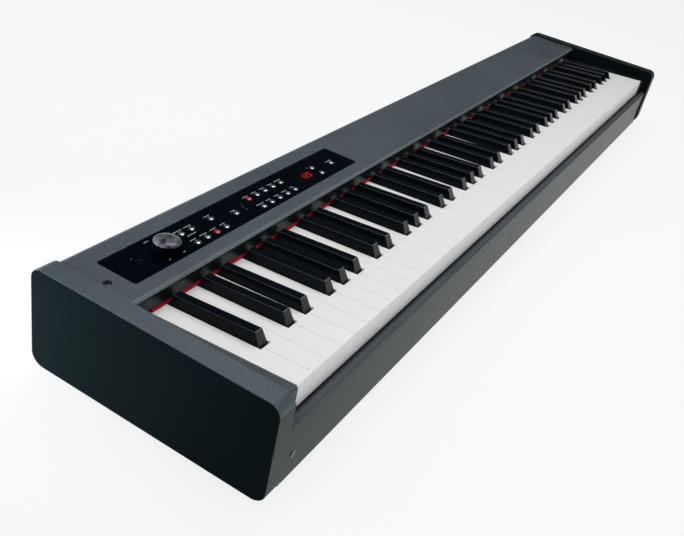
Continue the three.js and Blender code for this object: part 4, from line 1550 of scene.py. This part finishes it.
@dataclass
class RearSide(SubAssembly):
    """The rear panel with its sockets, nuts, captions and screws."""

    depth: Span = (257.0, REAR_FACE)
    top: float = 85.2
    panel_edge: float = 0.4
    sockets: tuple[Socket, ...] = (
        Socket(SocketKind.POWER, 5.4, 12.0),
        Socket(SocketKind.JACK, 5.9, 9.0),
        Socket(SocketKind.JACK, 5.9, 9.0),
        Socket(SocketKind.JACK, 5.9, 14.0),
        Socket(SocketKind.JACK, 5.9, 12.0),
        Socket(SocketKind.DATA, 8.9, 10.0),
        Socket(SocketKind.DATA, 8.9, 10.0),
    )
    first_socket: float = 440.0
    pitch: float = 34.0
    axis: float = 44.0
    washer: Disc = Disc("washer", 0.35, 8.3, 0.6, 40)
    nut: Disc = Disc("nut", 1.6, 7.4, 1.8, 6)
    bore: Disc = Disc("bore", 0.0, 3.35, 12.0)
    nut_edge: float = 0.2
    insert: Disc = Disc("insert", -6.5, 6.6, 3.0)
    pin: Disc = Disc("pin", -4.6, 0.75, 3.0, 12)
    pin_ring: float = 4.4
    pin_count: int = 5
    inlet_pin: Disc = Disc("pin", -5.0, 1.0, 7.0, 16)
    inlet_pin_edge: float = 0.4
    caption_depth: Span = (259.7, 260.06)
    caption_height: Span = (57.0, 58.2)
    caption_corner: float = 0.5
    screw: Disc = Disc("screw", 0.3, 3.2, 1.4, 24)
    slot: Slot = Slot(4.0, 0.8, 0.6)
    screw_count: int = 7
    screw_edge: float = 0.45
    screw_inset: float = 12.0
    screw_rows: Span = (10.0, 78.0)

    def build(self) -> None:
        """Make the rear panel and everything on it."""
        self._panel()
        self._nuts()
        self._pins()
        self._captions()
        self._screws()

    def _places(self, *kinds: SocketKind) -> list[tuple[float, Socket]]:
        """List the sockets of some kinds, each with its middle along X."""
        return [(self.first_socket + number * self.pitch, socket)
                for number, socket in enumerate(self.sockets) if socket.kind in kinds]

    def _make(self, disc: Disc, x: float, height: float) -> Piece:
        """Make a round part at a place along X and Z."""
        place = (x, REAR_FACE + disc.stand_out, height)
        return self.bench.rod(disc.name, place, disc.radius, disc.length, disc.sides, Axis.Y)

    def _panel(self) -> None:
        """Make the rear panel with its round holes."""
        bench = self.bench
        panel = bench.block("rear_panel_plate", BODY_ACROSS, self.depth, (BODY_BOTTOM, self.top))
        cutters = [self._make(Disc("hole", -1.5, socket.hole, 8.0, 40), x, self.axis)
                   for x, socket in self._places(*SocketKind)]
        bench.cut(panel, bench.join(cutters, "holes"))
        bench.soften(panel, self.panel_edge)
        bench.polish(panel, Finishes.REAR, "rear_panel")

    def _nuts(self) -> None:
        """Make the washer and the six-sided nut of each jack."""
        bench = self.bench
        parts = []
        for x, _ in self._places(SocketKind.JACK):
            for disc in (self.washer, self.nut):
                part = self._make(disc, x, self.axis)
                bench.cut(part, self._make(self.bore, x, self.axis))
                bench.soften(part, self.nut_edge)
                parts.append(part)
        bench.polish(bench.join(parts, "jack_nuts"), Finishes.NUT)

    def _pins(self) -> None:
        """Make the insert and the pins of each data socket, and the power inlet's pin."""
        bench = self.bench
        inserts, pins = [], []
        for x, _ in self._places(SocketKind.DATA):
            inserts.append(self._make(self.insert, x, self.axis))
            for number in range(self.pin_count):
                turn = math.pi * number / (self.pin_count - 1)
                pins.append(self._make(self.pin, x + self.pin_ring * math.cos(turn),
                                       self.axis + self.pin_ring * math.sin(turn)))
        for x, _ in self._places(SocketKind.POWER):
            pins.append(self._make(self.inlet_pin, x, self.axis))
            bench.soften(pins[-1], self.inlet_pin_edge)
        bench.polish(bench.join(inserts, "socket_inserts"), Finishes.SOCKET)
        bench.polish(bench.join(pins, "socket_pins"), Finishes.NUT)

    def _captions(self) -> None:
        """Print a plain bar above each socket."""
        bench = self.bench
        bars = []
        for x, socket in self._places(*SocketKind):
            bar = bench.block("bar", around(x, socket.caption), self.caption_depth, self.caption_height)
            bench.round_corners(bar, self.caption_corner, segments=3, axis=Axis.Y)
            bars.append(bar)
        bench.dress(bench.join(bars, "socket_caption_bars"), Finishes.LEGEND)

    def _screws(self) -> None:
        """Make the screws along the panel's top and bottom edges."""
        bench = self.bench
        left, right = BODY_ACROSS[0] + self.screw_inset, BODY_ACROSS[1] - self.screw_inset
        low, high = self.screw_rows
        first = self._make(self.screw, left, low)
        bench.soften(first, self.screw_edge, segments=3)
        face = REAR_FACE + self.screw.stand_out + self.screw.length / 2.0
        bench.cross(first, self.slot, (left, face, low), Way.BACK)
        step = (right - left) / (self.screw_count - 1)
        copies = [bench.copy(first, "screw", (step * column, 0.0, (high - low) * row))
                  for column in range(self.screw_count) for row in (0, 1) if column or row]
        bench.polish(bench.join([first, *copies], "rear_panel_screws"), Finishes.SCREW)


@dataclass
class Underside(SubAssembly):
    """The rubber feet and the screws in the base board.

    Each ring is a radius and a height. A screw's rings are measured from the board,
    or from the top of the recess in a foot.
    """

    feet: tuple[tuple[str, Place], ...] = (
        ("front_left_foot", (95.0, 38.0)), ("front_right_foot", (1232.0, 38.0)),
        ("rear_left_foot", (95.0, 225.0)), ("rear_right_foot", (1232.0, 225.0)),
    )
    foot_rings: tuple[Place, ...] = (
        (13.6, -11.5), (15.2, -11.3), (16.1, -10.4), (16.6, -7.0), (17.3, -3.0), (17.9, 0.9), (17.5, 1.6),
    )
    foot_sides: int = 48
    foot_edge: float = 0.4
    recess_radius: float = 6.0
    recess_depth: float = 6.0
    foot_screw_rings: tuple[Place, ...] = ((3.2, -1.8), (4.2, -1.3), (4.2, 0.4))
    foot_slot: Slot = Slot(4.8, 1.0, 0.9)
    board_screw_rings: tuple[Place, ...] = ((2.6, -1.1), (3.6, -0.6), (3.8, 0.3))
    board_slot: Slot = Slot(4.0, 0.9, 0.7)
    screw_columns: int = 6
    screw_rows: tuple[float, ...] = (20.0, 131.0, 243.0)
    screw_inset: float = 140.0

    def build(self) -> None:
        """Make the feet and the screws."""
        bench = self.bench
        floor = self.foot_rings[0][1]
        for node, place in self.feet:
            foot = bench.turned(f"{node}_pad", place, self.foot_rings, self.foot_sides)
            bench.cut(foot, bench.rod("recess", (*place, floor), self.recess_radius, self.recess_depth * 2.0))
            bench.soften(foot, self.foot_edge)
            bench.polish(foot, Finishes.RUBBER, node)
        self._foot_screws(floor + self.recess_depth)
        self._board_screws()

    def _foot_screws(self, top: float) -> None:
        """Make the screw in the recess of each foot.

        Args:
            top: The height of the top of the recess.
        """
        bench = self.bench
        rings = [(radius, top + height) for radius, height in self.foot_screw_rings]
        heads = []
        for _, place in self.feet:
            head = bench.turned("head", place, rings)
            bench.cross(head, self.foot_slot, (*place, rings[0][1]), Way.DOWN)
            heads.append(head)
        bench.polish(bench.join(heads, "foot_screws"), Finishes.SCREW)

    def _board_screws(self) -> None:
        """Make the rows of screws in the underside of the base board."""
        bench = self.bench
        left, near = self.screw_inset, self.screw_rows[0]
        rings = [(radius, BODY_BOTTOM + height) for radius, height in self.board_screw_rings]
        first = bench.turned("head", (left, near), rings, sides=24)
        bench.cross(first, self.board_slot, (left, near, rings[0][1]), Way.DOWN)
        step = (CASE_WIDTH - 2.0 * left) / (self.screw_columns - 1)
        copies = [bench.copy(first, "head", (step * column, row - near, 0.0))
                  for column in range(self.screw_columns) for row in self.screw_rows
                  if column or row != near]
        bench.polish(bench.join([first, *copies], "base_board_screws"), Finishes.SCREW)


@dataclass
class Innards(SubAssembly):
    """The hidden nodes that keep their own shape."""

    hammers: tuple[str, ...] = (
        "hammer_c4", "hammer_c_sharp4", "hammer_d4", "hammer_d_sharp4", "hammer_e4", "hammer_f4",
        "hammer_f_sharp4", "hammer_g4", "hammer_g_sharp4", "hammer_a4", "hammer_a_sharp4", "hammer_b4",
        "bass_hammers", "treble_hammers",
    )
    others: tuple[tuple[str, Finish], ...] = (
        ("keybed_frame", Finishes.FRAME), ("key_felt_strip", Finishes.FELT),
        ("control_circuit_board", Finishes.CIRCUIT), ("rear_jack_board", Finishes.SOCKET),
    )

    def build(self) -> None:
        """Paint each node that keeps its own shape."""
        for node in self.hammers:
            self.bench.repaint(node, Finishes.HAMMER)
        for node, finish in self.others:
            self.bench.repaint(node, finish)


@dataclass(frozen=True)
class Lamp:
    """A soft square lamp, aimed at a spot.

    Its place, aim and size are in metres, its power in watts and its spread in degrees.
    """

    name: str
    place: Spot
    aim: Spot
    size: float
    power: float
    spread: float = 180.0
    in_gloss: bool = False


@dataclass
class Studio:
    """The floor, the light and the camera, in metres."""

    PHOTO_WIDTH_PX: ClassVar[float] = 684.0
    SENSOR_WIDTH_MM: ClassVar[float] = 36.0

    eye: Spot = (-1.07657, -0.33923, 0.53063)
    right: Spot = (0.50492, -0.8427, 0.18683)
    down: Spot = (-0.37388, -0.40861, -0.83262)
    forward: Spot = (0.77799, 0.35056, -0.52139)
    focal_px: float = 824.588
    nearest: float = 0.01
    floor_size: float = 30.0
    floor_colour: tuple[float, ...] = (0.9, 0.9, 0.9, 1.0)
    floor_roughness: float = 0.9
    backdrop: float = 0.955
    backdrop_share: float = 0.86
    sky_colour: tuple[float, ...] = (0.94, 0.98, 1.0, 1.0)
    ambient: float = 0.4
    ceiling: float = 0.03
    fade: Span = (0.03, 0.24)
    lamps: tuple[Lamp, ...] = (
        Lamp("key_softbox", (0.2, 0.2, 1.7), (-0.1, 0.0, 0.1), 1.0, 11.0, in_gloss=True),
        Lamp("rear_softbox", (-0.45, 0.9, 1.8), (-0.15, 0.0, 0.1), 1.5, 5.5),
        Lamp("near_softbox", (-0.9, -0.25, 1.6), (-0.4, 0.0, 0.1), 1.6, 5.2),
        Lamp("front_softbox", (-0.6, -1.6, 1.0), (-0.2, 0.0, 0.1), 0.9, 7.3),
        Lamp("corner_softbox", (-0.95, 0.55, 0.08), (-0.66, 0.25, 0.06), 0.2, 1.7, 50.0),
    )

    def build(self) -> None:
        """Set up the floor, the light and the camera."""
        self._floor()
        self._world()
        for lamp in self.lamps:
            self._hang(lamp)
        self._camera()

    @staticmethod
    def _seen(tree: bpy.types.NodeTree) -> bpy.types.NodeSocket:
        """Give a socket that is 1 for what the camera sees, itself or in gloss or glass.

        Args:
            tree: The node tree that takes the nodes.

        Returns:
            The output socket.
        """
        path = add_node(tree, "LightPath")
        seen = path.outputs["Is Camera Ray"]
        for ray in ("Is Glossy Ray", "Is Transmission Ray"):
            larger = add_node(tree, "Math", {0: seen, 1: path.outputs[ray]})
            larger.operation = "MAXIMUM"
            seen = larger.outputs["Value"]
        return seen

    def _floor(self) -> None:
        """Lay the pale floor, which glows where it is seen and so keeps only a soft shadow."""
        bpy.ops.object.select_all(action="DESELECT")
        bpy.ops.mesh.primitive_plane_add(size=self.floor_size, location=(0.0, 0.0, 0.0))
        floor = bpy.context.active_object
        floor.name = "studio_floor"
        paint = bpy.data.materials.new("studio_floor")
        paint.use_nodes = True
        tree = paint.node_tree
        shader = tree.nodes["Principled BSDF"]
        plug(tree, shader, {
            "Base Color": self.floor_colour,
            "Roughness": self.floor_roughness,
            "Specular IOR Level": 0.0,
        })
        glow = add_node(tree, "Emission", {"Strength": self.backdrop})
        share = add_node(tree, "Math", {0: self._seen(tree), 1: self.backdrop_share})
        share.operation = "MULTIPLY"
        mix = add_node(tree, "MixShader", {
            "Fac": share.outputs["Value"],
            1: shader.outputs["BSDF"],
            2: glow.outputs["Emission"],
        })
        plug(tree, tree.nodes["Material Output"], {"Surface": mix.outputs["Shader"]})
        floor.data.materials.append(paint)

    def _world(self) -> None:
        """Give the world a soft light, and a look that fades from white to a dim ceiling."""
        world = bpy.data.worlds.new("studio_world")
        world.use_nodes = True
        bpy.context.scene.world = world
        tree = world.node_tree
        tree.nodes.clear()
        light = add_node(tree, "Background", {"Color": self.sky_colour, "Strength": self.ambient})
        direction = add_node(tree, "TexCoord")
        height = add_node(tree, "SeparateXYZ", {"Vector": direction.outputs["Generated"]})
        fade = add_node(tree, "MapRange", {
            "Value": height.outputs["Z"],
            "From Min": self.fade[0],
            "From Max": self.fade[1],
            "To Min": self.backdrop,
            "To Max": self.ceiling,
        })
        look = add_node(tree, "Background", {"Strength": fade.outputs["Result"]})
        mix = add_node(tree, "MixShader", {
            "Fac": self._seen(tree),
            1: light.outputs["Background"],
            2: look.outputs["Background"],
        })
        add_node(tree, "OutputWorld", {"Surface": mix.outputs["Shader"]})

    @staticmethod
    def _hang(lamp: Lamp) -> None:
        """Hang one lamp, out of the camera's sight.

        Args:
            lamp: The lamp.
        """
        light = bpy.data.lights.new(lamp.name, "AREA")
        light.size = lamp.size
        light.energy = lamp.power
        light.spread = math.radians(lamp.spread)
        holder = bpy.data.objects.new(lamp.name, light)
        holder.location = lamp.place
        holder.rotation_euler = (Vector(lamp.aim) - Vector(lamp.place)).to_track_quat("-Z", "Y").to_euler()
        holder.visible_camera = False
        holder.visible_glossy = lamp.in_gloss
        bpy.context.collection.objects.link(holder)

    def _camera(self) -> None:
        """Stand the camera where the photograph was taken from."""
        camera = bpy.data.cameras.new("photo_camera")
        camera.sensor_width = self.SENSOR_WIDTH_MM
        camera.lens = self.focal_px / self.PHOTO_WIDTH_PX * self.SENSOR_WIDTH_MM
        camera.clip_start = self.nearest
        holder = bpy.data.objects.new("photo_camera", camera)
        turn = Matrix((Vector(self.right), -Vector(self.down), -Vector(self.forward))).transposed()
        holder.matrix_world = Matrix.Translation(Vector(self.eye)) @ turn.to_4x4()
        bpy.context.collection.objects.link(holder)
        bpy.context.scene.camera = holder
        bpy.context.scene.view_settings.view_transform = "Standard"


def main() -> None:
    """Set up the studio, build the piano in it and report each piece."""
    logging.basicConfig(level=logging.INFO, format="%(name)s: %(message)s")
    bench = Bench()
    Studio().build()
    buttons = Buttons(bench)
    makers = (
        EndPanels(bench), TopCover(bench), CaseBody(bench), ControlPanel(bench, buttons.places()), buttons,
        VolumeKnob(bench), CoverScrews(bench), Keys(bench), RearSide(bench), Underside(bench), Innards(bench),
    )
    for maker in makers:
        maker.build()
        for piece in bench.finished:
            log.info("%s: %s", type(maker).__name__, piece)
        bench.finished.clear()


if __name__ == "__main__":
    main()
